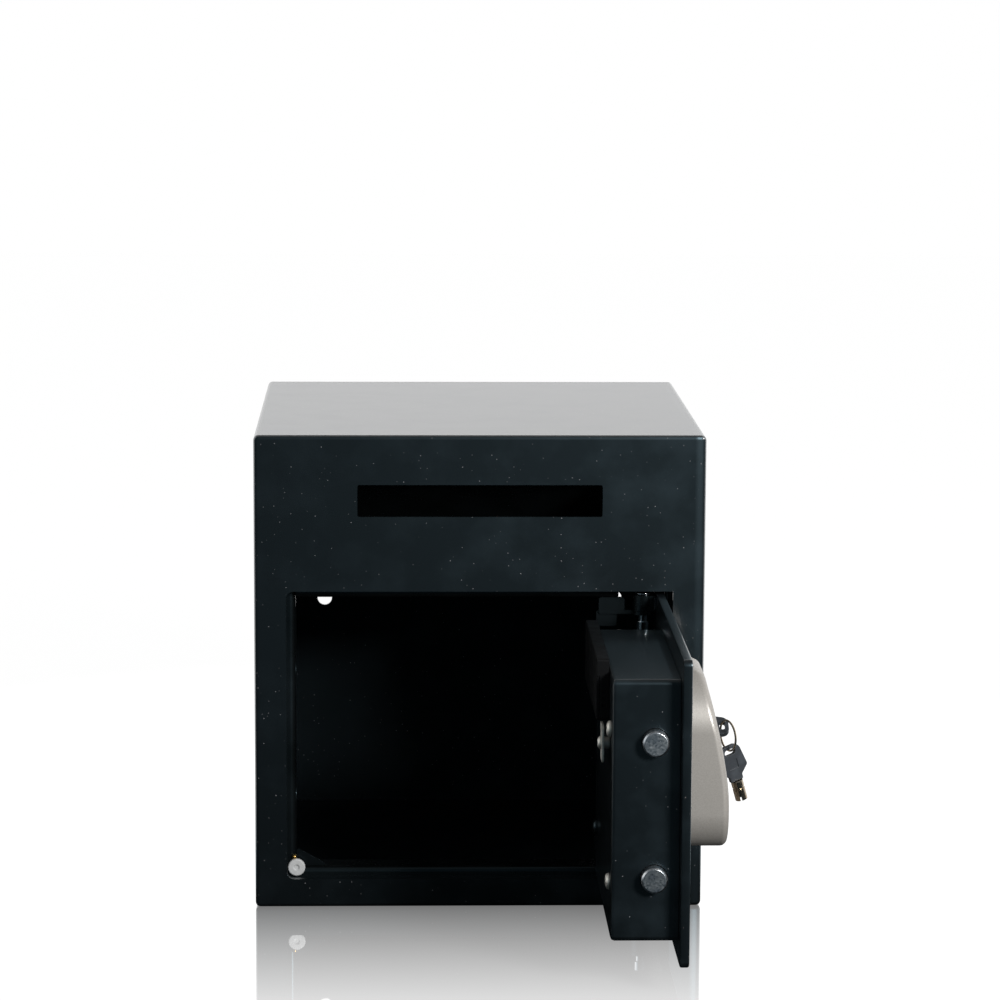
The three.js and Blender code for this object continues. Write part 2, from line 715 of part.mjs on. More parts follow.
function boltGuide() {
  const web = boxLeft + guide.fromEnd;
  const section = folded([
    [web + guide.foot, workFront],
    [web, workFront],
    [web, lugBack],
    [web + guide.lug, lugBack],
  ], -guide.sheet, guide.bend);
  const boltHoles = [-1, 1].map((side) => alongX(
    disc(bolt.behind, doorMiddle + side * boltRise, bolt.radius + gap),
    web - overrun, web + guide.sheet + overrun,
  ));
  return cutFrom(
    alongZ(section, doorMiddle - guideHalf, doorMiddle + guideHalf), ...boltHoles, ...tappedHoles(web),
  );
}

function hingeEndBracket() {
  const section = folded([
    [endPlace - endBracket.foot, workFront],
    [endPlace, workFront],
    [endPlace, lugBack - guide.sheet],
    [endPlace + endBracket.lug, lugBack - guide.sheet],
  ], guide.sheet, guide.bend);
  return cutFrom(
    alongZ(section, doorMiddle - guideHalf, doorMiddle + guideHalf),
    ...tappedHoles(endPlace),
  );
}

function guidePin(side) {
  const length = carriage.front + carriage.sheet + gap - workFront;
  return facing(turned([
    [0, 0],
    [guidePost.radius, 0],
    [guidePost.radius, length],
    [guidePost.head, length],
    [guidePost.head, length + guidePost.headHeight],
    [0, length + guidePost.headHeight],
  ]), guidePost.across, workFront, doorMiddle + side * postRise, 'back');
}

// Bolt work. The knob's crank pin runs in the carriage's upright slot and carries both bolts.

function boltCarriage() {
  const low = doorMiddle - carriageHalf;
  const high = doorMiddle + carriageHalf;
  const section = folded([
    [tailX, carriage.front + carriage.flange],
    [tailX, carriage.front],
    [carriage.armEnd, carriage.front],
  ], carriage.sheet, carriage.bend);
  const armLow = knob.height - carriage.arm / 2 + carriage.shoulder / 2;
  const armHigh = armLow + carriage.arm;
  const face = outline([
    [tailX - overrun, low], [carriage.plateEnd, low],
    [carriage.plateEnd + carriage.shoulder, armLow], [carriage.armEnd + overrun, armLow],
    [carriage.armEnd + overrun, armHigh], [carriage.plateEnd + carriage.shoulder, armHigh],
    [carriage.plateEnd, high], [tailX - overrun, high],
  ], [0, carriage.corner, carriage.corner, 0, 0, carriage.corner, carriage.corner, 0]);
  const near = carriage.front - overrun;
  const far = carriage.front + carriage.sheet + overrun;
  const pinRadius = crank.pin + crank.play;
  const side = bolt.travel / 2;
  const pinLow = knob.height + crankArm * Math.cos(THREE.MathUtils.degToRad(knob.turn / 2));
  const yoke = alongY(capsule(side, pinLow, side, knob.height + crankArm, pinRadius), near, far);
  const slots = [-1, 1].map((up) => {
    const z = doorMiddle + up * postRise;
    const slot = capsule(
      guidePost.across, z, guidePost.across + bolt.travel, z, guidePost.radius + gap,
    );
    return alongY(slot, near, far);
  });
  const spigots = [-1, 1].map((up) => alongX(
    disc(bolt.behind, doorMiddle + up * boltRise, bolt.spigot + gap),
    tailX - overrun, tailX + carriage.sheet + overrun,
  ));
  const plate = alongZ(section, low, high).intersect(alongY(face, near, boxBack));
  return cutFrom(plate, yoke, ...slots, ...spigots);
}

// A bolt points to the latch side, and its riveted tail goes through the carriage's flange.
function doorBolt(side) {
  const tail = tailX - gap;
  const length = tail - (boxLeft - bolt.out);
  const through = carriage.sheet + 2 * gap;
  return facing(turned([
    [0, -through - bolt.rivetHeight],
    [bolt.rivet, -through - bolt.rivetHeight],
    [bolt.rivet, -through],
    [bolt.spigot, -through],
    [bolt.spigot, 0],
    [bolt.radius, 0],
    [bolt.radius, length - bolt.chamfer],
    [bolt.radius - bolt.chamfer, length],
    [0, length],
  ], 32), tail, bolt.behind, doorMiddle + side * boltRise, 'left');
}

const crankFront = stiffBack + crank.front;

// The crank is welded to the spindle.
function spindleCrank() {
  const angle = THREE.MathUtils.degToRad(knob.turn / 2);
  const x = crankArm * Math.sin(angle);
  const z = knob.height + crankArm * Math.cos(angle);
  const back = crankFront + crank.thickness;
  const near = -housing.floor - gap - knob.hubHeight / 2;
  return join(
    alongY(disc(0, knob.height, knob.spindle), near, back),
    alongY(disc(0, knob.height, crank.hub), crankFront, back),
    alongY(capsule(0, knob.height, x, z, crank.end), crankFront, back),
    alongY(disc(x, z, crank.pin), back - crank.thickness / 2, back + crank.reach),
  );
}

function turnKnob() {
  const { skirt, skirtHeight, hub, hubHeight, grip, gripLength, gripHeight, edge } = knob;
  const face = -housing.floor - gap;
  const base = facing(turned([
    [0, 0],
    [skirt, 0],
    [skirt, skirtHeight - edge],
    [skirt - edge, skirtHeight],
    [hub + edge, skirtHeight],
    [hub, skirtHeight + edge],
    [hub - edge, hubHeight],
    [0, hubHeight],
  ], 32), 0, face, knob.height, 'front');
  const half = (gripLength - grip) / 2;
  const blade = alongY(
    capsule(0, knob.height - half, 0, knob.height + half, grip / 2),
    face - gripHeight, face - skirtHeight / 2, edge,
  );
  const bore = holeThrough(0, knob.height, knob.spindle + gap, face - hubHeight / 2 - gap + overrun, face);
  return cutFrom(join(base, blade), bore);
}

function solenoidBlock() {
  const { across, width, height, depth, coil, plunger, corner } = solenoid;
  const base = boxTop - solenoid.underBoxTop;
  const near = workFront;
  const frame = rectangle(across - width / 2, base, across + width / 2, base + height, corner);
  const window = rectangle(
    across - width / 2 + corner, base + corner, across + width / 2 - corner, base + height - corner,
  );
  const middle = near + depth / 2;
  return join(
    cutFrom(alongY(frame, near, near + depth), alongY(window, near + corner, near + depth + overrun)),
    alongZ(disc(across, middle, coil), base + corner / 2, base + height - corner / 2),
    alongZ(disc(across, middle, plunger), base - corner, base + corner),
  );
}

// Lock housing. Its rim follows a crest that is high at the knob and falls to the top, and
// a bay inside the rim holds the keypad, the lock and the knob. Every ring below is the
// same rounded outline, drawn in from the edge, at a height that depends on where it lies.

function crestAt(z) {
  const { rise, crestEnd, crestPull, shoulder, shoulderRise, height, crown } = housing;
  if (z <= crestEnd) return rise;
  if (z <= shoulder) {
    const a = crestEnd - 2 * crestPull + shoulder;
    const b = 2 * (crestPull - crestEnd);
    const t = (-b + Math.sqrt(b * b - 4 * a * (crestEnd - z))) / (2 * a);
    return rise + (shoulderRise - rise) * t * t;
  }
  const share = Math.min((z - shoulder) / (height - shoulder), 1);
  return crown + (shoulderRise - crown) * Math.sqrt(1 - share * share);
}

function housingRing(inset, heightOf) {
  const { width, height, corner, topCorner, bottom } = housing;
  const half = width / 2 - inset;
  const radius = corner - inset;
  const topRadius = topCorner - inset;
  const cornerSteps = 7;
  const sideSteps = 9;
  const points = [];
  const add = (x, z) => points.push(new THREE.Vector3(x, -heightOf(z), bottom + z));
  const low = inset + radius;
  const high = height - inset - topRadius;
  [
    [half - radius, low, radius],
    [half - topRadius, high, topRadius],
    [topRadius - half, high, topRadius],
    [radius - half, low, radius],
  ].forEach(([x, z, reach], index) => {
    for (let i = 0; i <= cornerSteps; i += 1) {
      const angle = (index - 1 + i / cornerSteps) * quarter;
      add(x + reach * Math.cos(angle), z + reach * Math.sin(angle));
    }
    if (index % 2 === 0) {
      const away = index === 0 ? high - low : low - high;
      const side = index === 0 ? half : -half;
      for (let i = 1; i < sideSteps; i += 1) add(side, z + away * i / sideSteps);
    }
  });
  return points;
}

function lockHousing() {
  const { rim, flat, lip, draft, floor } = housing;
  const rings = [housingRing(0, () => gap)];
  const rimSteps = 4;
  for (let i = 0; i <= rimSteps; i += 1) {
    const angle = (i / rimSteps) * quarter;
    rings.push(housingRing(rim * (1 - Math.cos(angle)), (z) => (
      Math.max(crestAt(z) - rim * (1 - Math.sin(angle)), 2 * gap + rim * angle)
    )));
  }
  const lipSteps = 2;
  for (let i = 0; i <= lipSteps; i += 1) {
    const angle = (i / lipSteps) * quarter;
    rings.push(housingRing(rim + flat + lip * Math.sin(angle), (z) => (
      Math.max(crestAt(z) - lip * (1 - Math.cos(angle)), floor + lip * Math.cos(angle))
    )));
  }
  rings.push(housingRing(rim + flat + lip + draft, () => floor));
  return cutFrom(
    lofted(rings),
    holeThrough(0, knob.height, knob.spindle + 2 * gap, -floor, 0),
    holeThrough(0, lock.height, lock.barrel + gap, -floor, 0),
  );
}

const lightZ = keypad.middle + keypad.height / 2 - keypad.lightInset;
const keyPlaces = [];
for (let row = 0; row < keypad.rows; row += 1) {
  for (let column = 0; column < keypad.columns; column += 1) {
    keyPlaces.push([
      (column - (keypad.columns - 1) / 2) * keypad.pitchAcross,
      keypad.middle + keypad.rowShift + ((keypad.rows - 1) / 2 - row) * keypad.pitchUp,
    ]);
  }
}

function keyOutline(x, z, room) {
  const halfWide = keypad.key / 2 + room;
  const halfTall = keypad.keyTall / 2 + room;
  return rectangle(x - halfWide, z - halfTall, x + halfWide, z + halfTall, keypad.keyCorner + room);
}

function keypadPanel() {
  const near = -keypadFront;
  const far = -housing.floor - gap;
  const half = keypad.width / 2;
  const top = keypad.middle + keypad.height / 2;
  const face = rectangle(-half, top - keypad.height, half, top, keypad.corner);
  const windows = keyPlaces.map(([x, z]) => (
    alongY(keyOutline(x, z, gap), near - overrun, far + overrun, 0, 1)
  ));
  const lights = [-1, 1].map((side) => (
    holeThrough(side * keypad.lightSpread, lightZ, keypad.light + gap, near, far)
  ));
  const room = capsule(-keypad.lightSpread, lightZ, keypad.lightSpread, lightZ, keypad.light + gap);
  const trench = alongY(room, far - keypad.strip - gap, far + overrun);
  return cutFrom(alongY(face, near, far, keypad.edge), ...windows, ...lights, trench);
}

function keyCap() {
  return alongY(keyOutline(0, 0, 0), -keypad.keyDepth, 0, keypad.keyEdge, 1);
}

// One clear strip behind the panel ends in a lens for each status light.
function lightGuide() {
  const { light, lightSpread, strip } = keypad;
  const lens = turned([
    [0, 0],
    [light, 0],
    [light, keypad.thickness],
    [light * Math.SQRT1_2, keypad.thickness + light * Math.SQRT1_2],
    [0, keypad.thickness + light],
  ], 12);
  const near = -housing.floor - gap;
  return join(
    alongY(capsule(-lightSpread, lightZ, lightSpread, lightZ, light), near - strip, near),
    ...[-1, 1].map((side) => facing(lens, side * lightSpread, near, lightZ, 'front')),
  );
}

// Lock. Its core takes the tubular key and turns the cam behind the door.

function lockCylinder() {
  const { barrel, flange, flangeHeight, edge, core, wall, behind } = lock;
  const bore = core + wall;
  return facing(turned([
    [bore, -behind - housing.floor - gap],
    [barrel, -behind - housing.floor - gap],
    [barrel, 0],
    [flange, 0],
    [flange, flangeHeight - edge],
    [flange - edge, flangeHeight],
    [bore, flangeHeight],
    [bore, -behind - housing.floor - gap],
  ]), 0, -housing.floor - gap, lock.height, 'front');
}

function lockCore() {
  const { core, pocket, pocketDepth, postRadius, postSink, behind } = lock;
  return facing(turned([
    [0, -behind - lockFace - gap],
    [core, -behind - lockFace - gap],
    [core, -gap],
    [pocket, -gap],
    [pocket, -pocketDepth],
    [postRadius, -pocketDepth],
    [postRadius, -postSink],
    [0, -postSink],
  ]), 0, -lockFace, lock.height, 'front');
}

function lockCam() {
  const { behind, cam, camHub, camReach, camEnd } = lock;
  const near = behind + 2 * gap;
  const angle = THREE.MathUtils.degToRad(key.turn);
  const x = camReach * Math.sin(angle);
  const z = lock.height - camReach * Math.cos(angle);
  return join(
    alongY(disc(0, lock.height, camHub), near, near + cam),
    alongY(capsule(0, lock.height, x, z, camEnd), near, near + cam),
  );
}

// A tubular key stands along +Z with its bow's root at 0 and its bow in the XZ plane.

function keyBow() {
  const { bow, neck, neckLength, shoulder, shoulderAt, crown, thickness, edge } = key;
  const centre = bow - crown;
  const soft = neckLength / 2;
  const round = crown * Math.SQRT1_2;
  const shape = outline([
    [-neck, gap], [neck, gap], [neck, neckLength], [shoulder, shoulderAt],
    [crown, bow], [-crown, bow], [-shoulder, shoulderAt], [-neck, neckLength],
  ], [0, 0, soft, soft, round, round, soft, soft]);
  const holeHalf = (key.holeSpan - key.hole) / 2;
  const holeZ = bow - key.holeInset - key.hole / 2;
  const hole = alongY(capsule(-holeHalf, holeZ, holeHalf, holeZ, key.hole / 2), -thickness, thickness);
  const recessZ = centre - key.recessAt / 2;
  const face = rectangle(
    -key.recess / 2, recessZ - key.recessTall / 2, key.recess / 2, recessZ + key.recessTall / 2, edge,
  );
  const skin = thickness / 2 - key.recessDepth;
  return cutFrom(
    alongY(shape, -thickness / 2, thickness / 2, edge),
    hole,
    alongY(face, skin, thickness, 0, 1),
    alongY(face, -thickness, -skin, 0, 1),
  );
}

function keyBarrel() {
  const { barrel, bore, barrelLength, boreDepth, collar, collarLength, groove, grooveAt, grooveLength } = key;
  const tube = turned([
    [0, -barrelLength + boreDepth],
    [bore, -barrelLength + boreDepth],
    [bore, -barrelLength],
    [barrel, -barrelLength],
    [barrel, -grooveAt - grooveLength],
    [barrel - groove, -grooveAt - grooveLength],
    [barrel - groove, -grooveAt],
    [barrel, -grooveAt],
    [barrel, 0],
    [0, 0],
  ]);
  const slits = [0, 1, 2].map((i) => placed(
    alongX(
      rectangle(-key.slit / 2, -barrelLength - overrun, key.slit / 2, key.slitDepth - barrelLength),
      bore - gap, collar,
    ),
    new THREE.Matrix4().makeRotationZ(i * 4 * quarter / 3),
  ));
  return cutFrom(tube, ...slits);
}

// Batteries lie in two rows in a moulded holder that stands through the back of the cover.

function batteryCell(row, column) {
  const { radius, length, capRadius, cap, edge, rowGap } = battery;
  const cell = turned([
    [0, 0],
    [radius - edge, 0],
    [radius, edge],
    [radius, length - edge],
    [radius - edge, length],
    [capRadius, length],
    [capRadius, length + cap],
    [0, length + cap],
  ]);
  const x = bayLeft + holder.wall + (column + 1) * (length + cap + gap);
  const y = boxBack - holder.sink + holder.wall + radius + gap;
  const z = bayBottom + holder.wall + gap + radius + row * (2 * radius + rowGap);
  return facing(cell, x, y, z, 'left');
}

const holderBack = boxBack + holder.proud;
const coverFront = holderBack - slideCover.thickness;

// The sliding cover's section is a dovetail, so that it can leave the holder only endways.
function dovetail(room) {
  const { margin, dovetail: lean, thickness } = slideCover;
  const low = bayBottom + margin / 2 - room;
  const high = bayTop - margin / 2 + room;
  return outline([
    [coverFront - room, low - lean], [coverFront - room, high + lean],
    [coverFront + thickness + room, high], [coverFront + thickness + room, low],
  ].reverse());
}

function batteryHolder() {
  const right = holderLeft + holder.length;
  const top = holderBottom + holder.height;
  const face = rectangle(holderLeft, holderBottom, right, top, holder.edge);
  const rear = cutFrom(
    alongY(face, boxBack + gap - holder.proud, holderBack, holder.edge / 2),
    alongY(
      rectangle(holderLeft - overrun, holderBottom - overrun, right + overrun, top + overrun),
      boxBack + gap - holder.proud - overrun, boxBack + gap,
    ),
  );
  const tray = alongY(
    rectangle(bayLeft, bayBottom, bayRight, bayTop), boxBack - holder.sink, boxBack + 2 * gap,
  );
  const well = alongY(
    rectangle(bayLeft + holder.wall, bayBottom + holder.wall, bayRight - holder.wall, bayTop - holder.wall),
    boxBack - holder.sink + holder.wall, holderBack + overrun,
  );
  const track = alongX(dovetail(gap), holderLeft - overrun, bayRight + gap);
  const ribs = [];
  for (let i = 0; i < holder.ribs; i += 1) {
    const z = holderBottom + holder.ribPitch * (i + 2);
    ribs.push(alongX(
      rectangle(boxBack + holder.edge, z, coverFront - holder.edge, z + holder.ribWidth),
      holderLeft - overrun, holderLeft + holder.ribDepth,
    ));
  }
  return cutFrom(join(rear, tray), well, track, ...ribs);
}

function batteryCover() {
  const grips = [];
  for (let i = 0; i < slideCover.grips; i += 1) {
    const x = holderLeft + slideCover.gripPitch * (i + 2);
    grips.push(alongY(
      rectangle(
        x, bayBottom + slideCover.margin * 2, x + slideCover.gripWidth, bayTop - slideCover.margin * 2,
      ),
      holderBack - slideCover.gripDepth, holderBack + overrun,
    ));
  }
  return cutFrom(alongX(dovetail(0), holderLeft, bayRight), ...grips);
}

// A zinc strap below the holder's latch end stands on a spacer and is held by one screw.

const strapBack = boxBack + gap + strap.spacer + strap.sheet;
const strapX = holderLeft + strap.width / 2 - strap.away;
const strapZ = holderBottom - gap - strap.height / 2;

function batteryStrap() {
  const { width, height, sheet, corner, spacer, screw, hold } = strap;
  const plate = rectangle(
    strapX - width / 2, strapZ - height / 2, strapX + width / 2, strapZ + height / 2, corner,
  );
  const foot = strapZ - height / 2 + hold;
  return cutFrom(
    join(
      alongY(plate, strapBack - sheet, strapBack),
      alongY(disc(strapX, foot, spacer), boxBack + gap, strapBack - sheet / 2),
    ),
    holeThrough(strapX, foot, screw + gap, boxBack, strapBack),
  );
}

// Assembly. The carcass stands as built. The door is built shut and then turned on its pivot.

const safe = new THREE.Group();
safe.position.set(0, -body.depth / 2, 0);

part('body_shell', bodyShell(), finish.blackPaint, safe);
part('front_panel', frontPanel(), finish.blackPaint, safe);
part('back_panel', backPanel(), finish.blackPaint, safe);
part('jamb_left', leftJamb(), finish.innerPaint, safe);
part('jamb_top', levelJamb(lintel, 1, lintel - jamb.lip + jamb.hem), finish.innerPaint, safe);
part('jamb_bottom', levelJamb(doorway.sill, -1, body.sheet + gap), finish.innerPaint, safe);
part('hinge_post', hingePost(), finish.innerPaint, safe);
part('hinge_bracket_top', hingeBracket(), finish.innerPaint, safe);
part('hinge_bracket_bottom', mirrored(hingeBracket(), doorMiddle), finish.innerPaint, safe);
part('hinge_pin_top', hingePin(), finish.chrome, safe);
part('hinge_pin_bottom', mirrored(hingePin(), doorMiddle), finish.chrome, safe);
part('chute_hood', chuteHood(), finish.innerPaint, safe);
part('anti_fish_comb', fishComb(), finish.innerPaint, safe);
part('bumper_gusset', bumperGusset(), finish.innerPaint, safe);
part('door_bumper', doorBumper(), finish.rubber, safe);

const doorPivot = new THREE.Group();
doorPivot.position.set(pivotX, pivotY, 0);
doorPivot.rotation.z = THREE.MathUtils.degToRad(door.openAngle);
safe.add(doorPivot);

const leaf = new THREE.Group();
leaf.position.set(-pivotX, -pivotY, 0);
doorPivot.add(leaf);

part('door_plate', doorPlate(), finish.blackPaint, leaf);
part('door_stiffener', doorStiffener(), finish.innerPaint, leaf);
part('knuckle_top', knuckle(), finish.innerPaint, leaf);
part('knuckle_bottom', mirrored(knuckle(), doorMiddle), finish.innerPaint, leaf);
part('bolt_cover', boltCover(), finish.blackPaint, leaf);
part('bolt_guide', boltGuide(), finish.steel, leaf);
part('hinge_end_bracket', hingeEndBracket(), finish.steel, leaf);
part('guide_pin_top', guidePin(1), finish.steel, leaf);
part('guide_pin_bottom', guidePin(-1), finish.steel, leaf);
part('solenoid', solenoidBlock(), finish.zinc, leaf);
part('battery_holder', batteryHolder(), finish.blackPlastic, leaf);
for (let row = 0; row < 2; row += 1) {
  for (let column = 0; column < 2; column += 1) {
    part(`battery_${2 * row + column + 1}`, batteryCell(row, column), finish.cell, leaf);
  }
}
part('battery_cover', batteryCover(), finish.blackPlastic, leaf);
part('battery_strap', batteryStrap(), finish.zinc, leaf);
part('lock_housing', lockHousing(), finish.silverPaint, leaf);
part('keypad_panel', keypadPanel(), finish.blackPlastic, leaf);
part('light_guide', lightGuide(), finish.greenLens, leaf);
part('lock_cylinder', lockCylinder(), finish.chrome, leaf);

keyPlaces.forEach(([x, z], i) => {
  const cap = part(`keypad_key_${i + 1}`, keyCap(), finish.keyCap, leaf);
  cap.position.set(x, -housing.floor - keypad.keySink, z);
});

part('bolt_carriage', boltCarriage(), finish.steel, leaf);
part('bolt_top', doorBolt(1), finish.chrome, leaf);
part('bolt_bottom', doorBolt(-1), finish.chrome, leaf);
part('knob', turnKnob(), finish.silverPaint, leaf);
part('spindle_crank', spindleCrank(), finish.steel, leaf);
part('lock_core', lockCore(), finish.steel, leaf);
part('lock_cam', lockCam(), finish.steel, leaf);

// Keys and ring. The first key stands in the lock, turned on its axis. The ring threads the
// bow's hole and passes its end, and the spare key hangs from the ring's lowest point.

const out = new THREE.Vector3(0, -1, 0);
const keyTurn = THREE.MathUtils.degToRad(90 - key.turn);
const bowAcross = new THREE.Vector3(Math.cos(keyTurn), 0, Math.sin(keyTurn));
const bowNormal = new THREE.Vector3().crossVectors(out, bowAcross);

const lockKey = new THREE.Group();
lockKey.quaternion.setFromRotationMatrix(new THREE.Matrix4().makeBasis(bowAcross, bowNormal, out));
lockKey.position.set(0, -lockFace - key.standOff, lock.height);
leaf.add(lockKey);
part('lock_key_bow', keyBow(), finish.keyPlastic, lockKey);
part('lock_key_barrel', keyBarrel(), finish.nickel, lockKey);

const lean = THREE.MathUtils.degToRad(ring.lean);
const roll = THREE.MathUtils.degToRad(ring.roll);
const sideways = bowAcross.clone().multiplyScalar(Math.cos(roll)).addScaledVector(bowNormal, Math.sin(roll));
const ringAxis = out.clone().multiplyScalar(Math.cos(lean)).addScaledVector(sideways, Math.sin(lean));
const ringCentre = lockKey.position.clone().addScaledVector(out, ring.out);
ringCentre.addScaledVector(bowAcross, ring.aside).addScaledVector(bowNormal, ring.lift);

const ringSolid = toSolid(new THREE.TorusGeometry(ring.radius, ring.wire, 6, 32));
const keyRing = part('key_ring', ringSolid, finish.nickel, leaf);
keyRing.quaternion.setFromUnitVectors(new THREE.Vector3(0, 0, 1), ringAxis);
keyRing.position.copy(ringCentre);

const down = new THREE.Vector3(0, 0, -1);
const lowest = down.clone().addScaledVector(ringAxis, -down.dot(ringAxis)).normalize();
const wireWay = new THREE.Vector3().crossVectors(ringAxis, lowest);
const tilt = THREE.MathUtils.degToRad(spare.tilt);
const hang = down.clone().multiplyScalar(Math.cos(tilt)).addScaledVector(out, Math.sin(tilt));
hang.addScaledVector(wireWay, -hang.dot(wireWay)).normalize();
const spareUp = hang.clone().negate();
const spareAcross = new THREE.Vector3().crossVectors(wireWay, spareUp);

const spareKey = new THREE.Group();
spareKey.quaternion.setFromRotationMatrix(new THREE.Matrix4().makeBasis(spareAcross, wireWay, spareUp));
spareKey.position.copy(ringCentre).addScaledVector(lowest, ring.radius);
spareKey.position.addScaledVector(spareUp, -(key.bow - key.holeInset - spare.seat));
leaf.add(spareKey);
part('spare_key_bow', keyBow(), finish.keyPlastic, spareKey);
part('spare_key_barrel', keyBarrel(), finish.nickel, spareKey);

export default safe;
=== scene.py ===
"""Looks for a drop safe with an open deposit slot, its door standing open.

Metres, +Z up, the front faces -Y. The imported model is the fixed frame. Every class below
holds one sub-assembly: its sizes are fields, and its methods build and dress its pieces.
At the front of the safe a pixel of the photograph is about 0.8 mm across, so a pattern
finer than that is drawn coarser than it is, and the comment beside its size says so.
"""

from __future__ import annotations

import logging
import math
from collections.abc import Sequence
from dataclasses import dataclass, field
from enum import Enum

import bmesh
import bpy
from mathutils import Matrix, Vector


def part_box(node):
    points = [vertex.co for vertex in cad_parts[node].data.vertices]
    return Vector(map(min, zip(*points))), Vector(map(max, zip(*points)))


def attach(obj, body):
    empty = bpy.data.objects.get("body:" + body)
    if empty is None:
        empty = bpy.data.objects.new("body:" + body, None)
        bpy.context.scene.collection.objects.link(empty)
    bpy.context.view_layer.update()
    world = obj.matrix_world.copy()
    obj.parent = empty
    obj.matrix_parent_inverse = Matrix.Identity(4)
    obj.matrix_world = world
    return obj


log = logging.getLogger("drop_safe")
MM = 0.001
UP = Vector((0, 0, 1))
WHITE = (1.0, 1.0, 1.0, 1.0)
# Blender's noise keeps mostly between these values.
NOISE_ENDS = (0.3, 0.7)
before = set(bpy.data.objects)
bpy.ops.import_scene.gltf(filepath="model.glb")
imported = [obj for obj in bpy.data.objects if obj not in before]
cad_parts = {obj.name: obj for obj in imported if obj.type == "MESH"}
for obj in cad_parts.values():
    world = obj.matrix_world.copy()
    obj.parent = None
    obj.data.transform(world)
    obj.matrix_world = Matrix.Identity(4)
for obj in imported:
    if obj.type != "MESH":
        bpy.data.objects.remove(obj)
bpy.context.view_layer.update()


# Shader helpers


def linear(hex_colour: str) -> tuple[float, float, float, float]:
    """Turns an sRGB hex value into a linear colour.

    Args:
        hex_colour: six hex digits after a leading mark.

    Returns:
        Red, green and blue, linear, and an alpha of 1.
    """
    digits = hex_colour.lstrip("#")
    parts = [int(digits[i : i + 2], 16) / 255 for i in (0, 2, 4)]
    red, green, blue = (c / 12.92 if c <= 0.04045 else ((c + 0.055) / 1.055) ** 2.4 for c in parts)
    return (red, green, blue, 1.0)


def per_metre(size_mm: float) -> float:
    """Returns how many features of size_mm a metre holds, as a pattern's scale asks for."""
    return 1 / (size_mm * MM)


def feed(node: bpy.types.Node, links: dict | Sequence) -> None:
    """Feeds a node's inputs.

    Args:
        node: the node.
        links: what feeds each input, by its name or number, or in the inputs' order. A node
            stands for its first output, and anything but a node or socket is a value.
    """
    for key, source in links.items() if isinstance(links, dict) else enumerate(links):
        if isinstance(source, bpy.types.Node):
            source = source.outputs[0]
        if isinstance(source, bpy.types.NodeSocket):
            node.id_data.links.new(source, node.inputs[key])
        else:
            node.inputs[key].default_value = source


def add(tree: bpy.types.NodeTree, kind: str, links: dict | Sequence = (), **settings) -> bpy.types.Node:
    """Adds a shader node with its settings and links.

    Args:
        tree: the node tree.
        kind: the node's type, without its ShaderNode prefix.
        links: what feeds its inputs, as in feed.
        **settings: the node's own properties.

    Returns:
        The new node.
    """
    made = tree.nodes.new("ShaderNode" + kind)
    for name, value in settings.items():
        setattr(made, name, value)
    feed(made, links)
    return made


# Finishes


@dataclass(frozen=True)
class Finish:
    """A finish: what its surface is made of, and how it takes the light."""

    name: str
    colour: str
    roughness: float = 0.4
    metallic: float = 0.0
    ior: float = 1.5

    def material(self) -> bpy.types.Material:
        """Makes the finish's material on its first use.

        Returns:
            The material.
        """
        known = bpy.data.materials.get(self.name)
        if known is not None:
            return known
        made = bpy.data.materials.new(self.name)
        made.use_nodes = True
        tree = made.node_tree
        tree.nodes.clear()
        shader = add(tree, "BsdfPrincipled", {
            "Base Color": linear(self.colour), "Roughness": self.roughness, "Metallic": self.metallic,
        })
        if self.metallic < 1:
            shader.inputs["IOR"].default_value = self.ior
        self.dress(tree, shader, add(tree, "TexCoord").outputs["Object"])
        add(tree, "OutputMaterial", [shader])
        made.diffuse_color = linear(self.colour)
        return made

    def dress(self, tree: bpy.types.NodeTree, shader: bpy.types.Node, place: bpy.types.NodeSocket) -> None:
        """Adds the finish's own colour, roughness and relief to its shader.

        Args:
            tree: the material's tree.
            shader: its shader.
            place: the coordinates that its patterns lie in, in metres.
        """


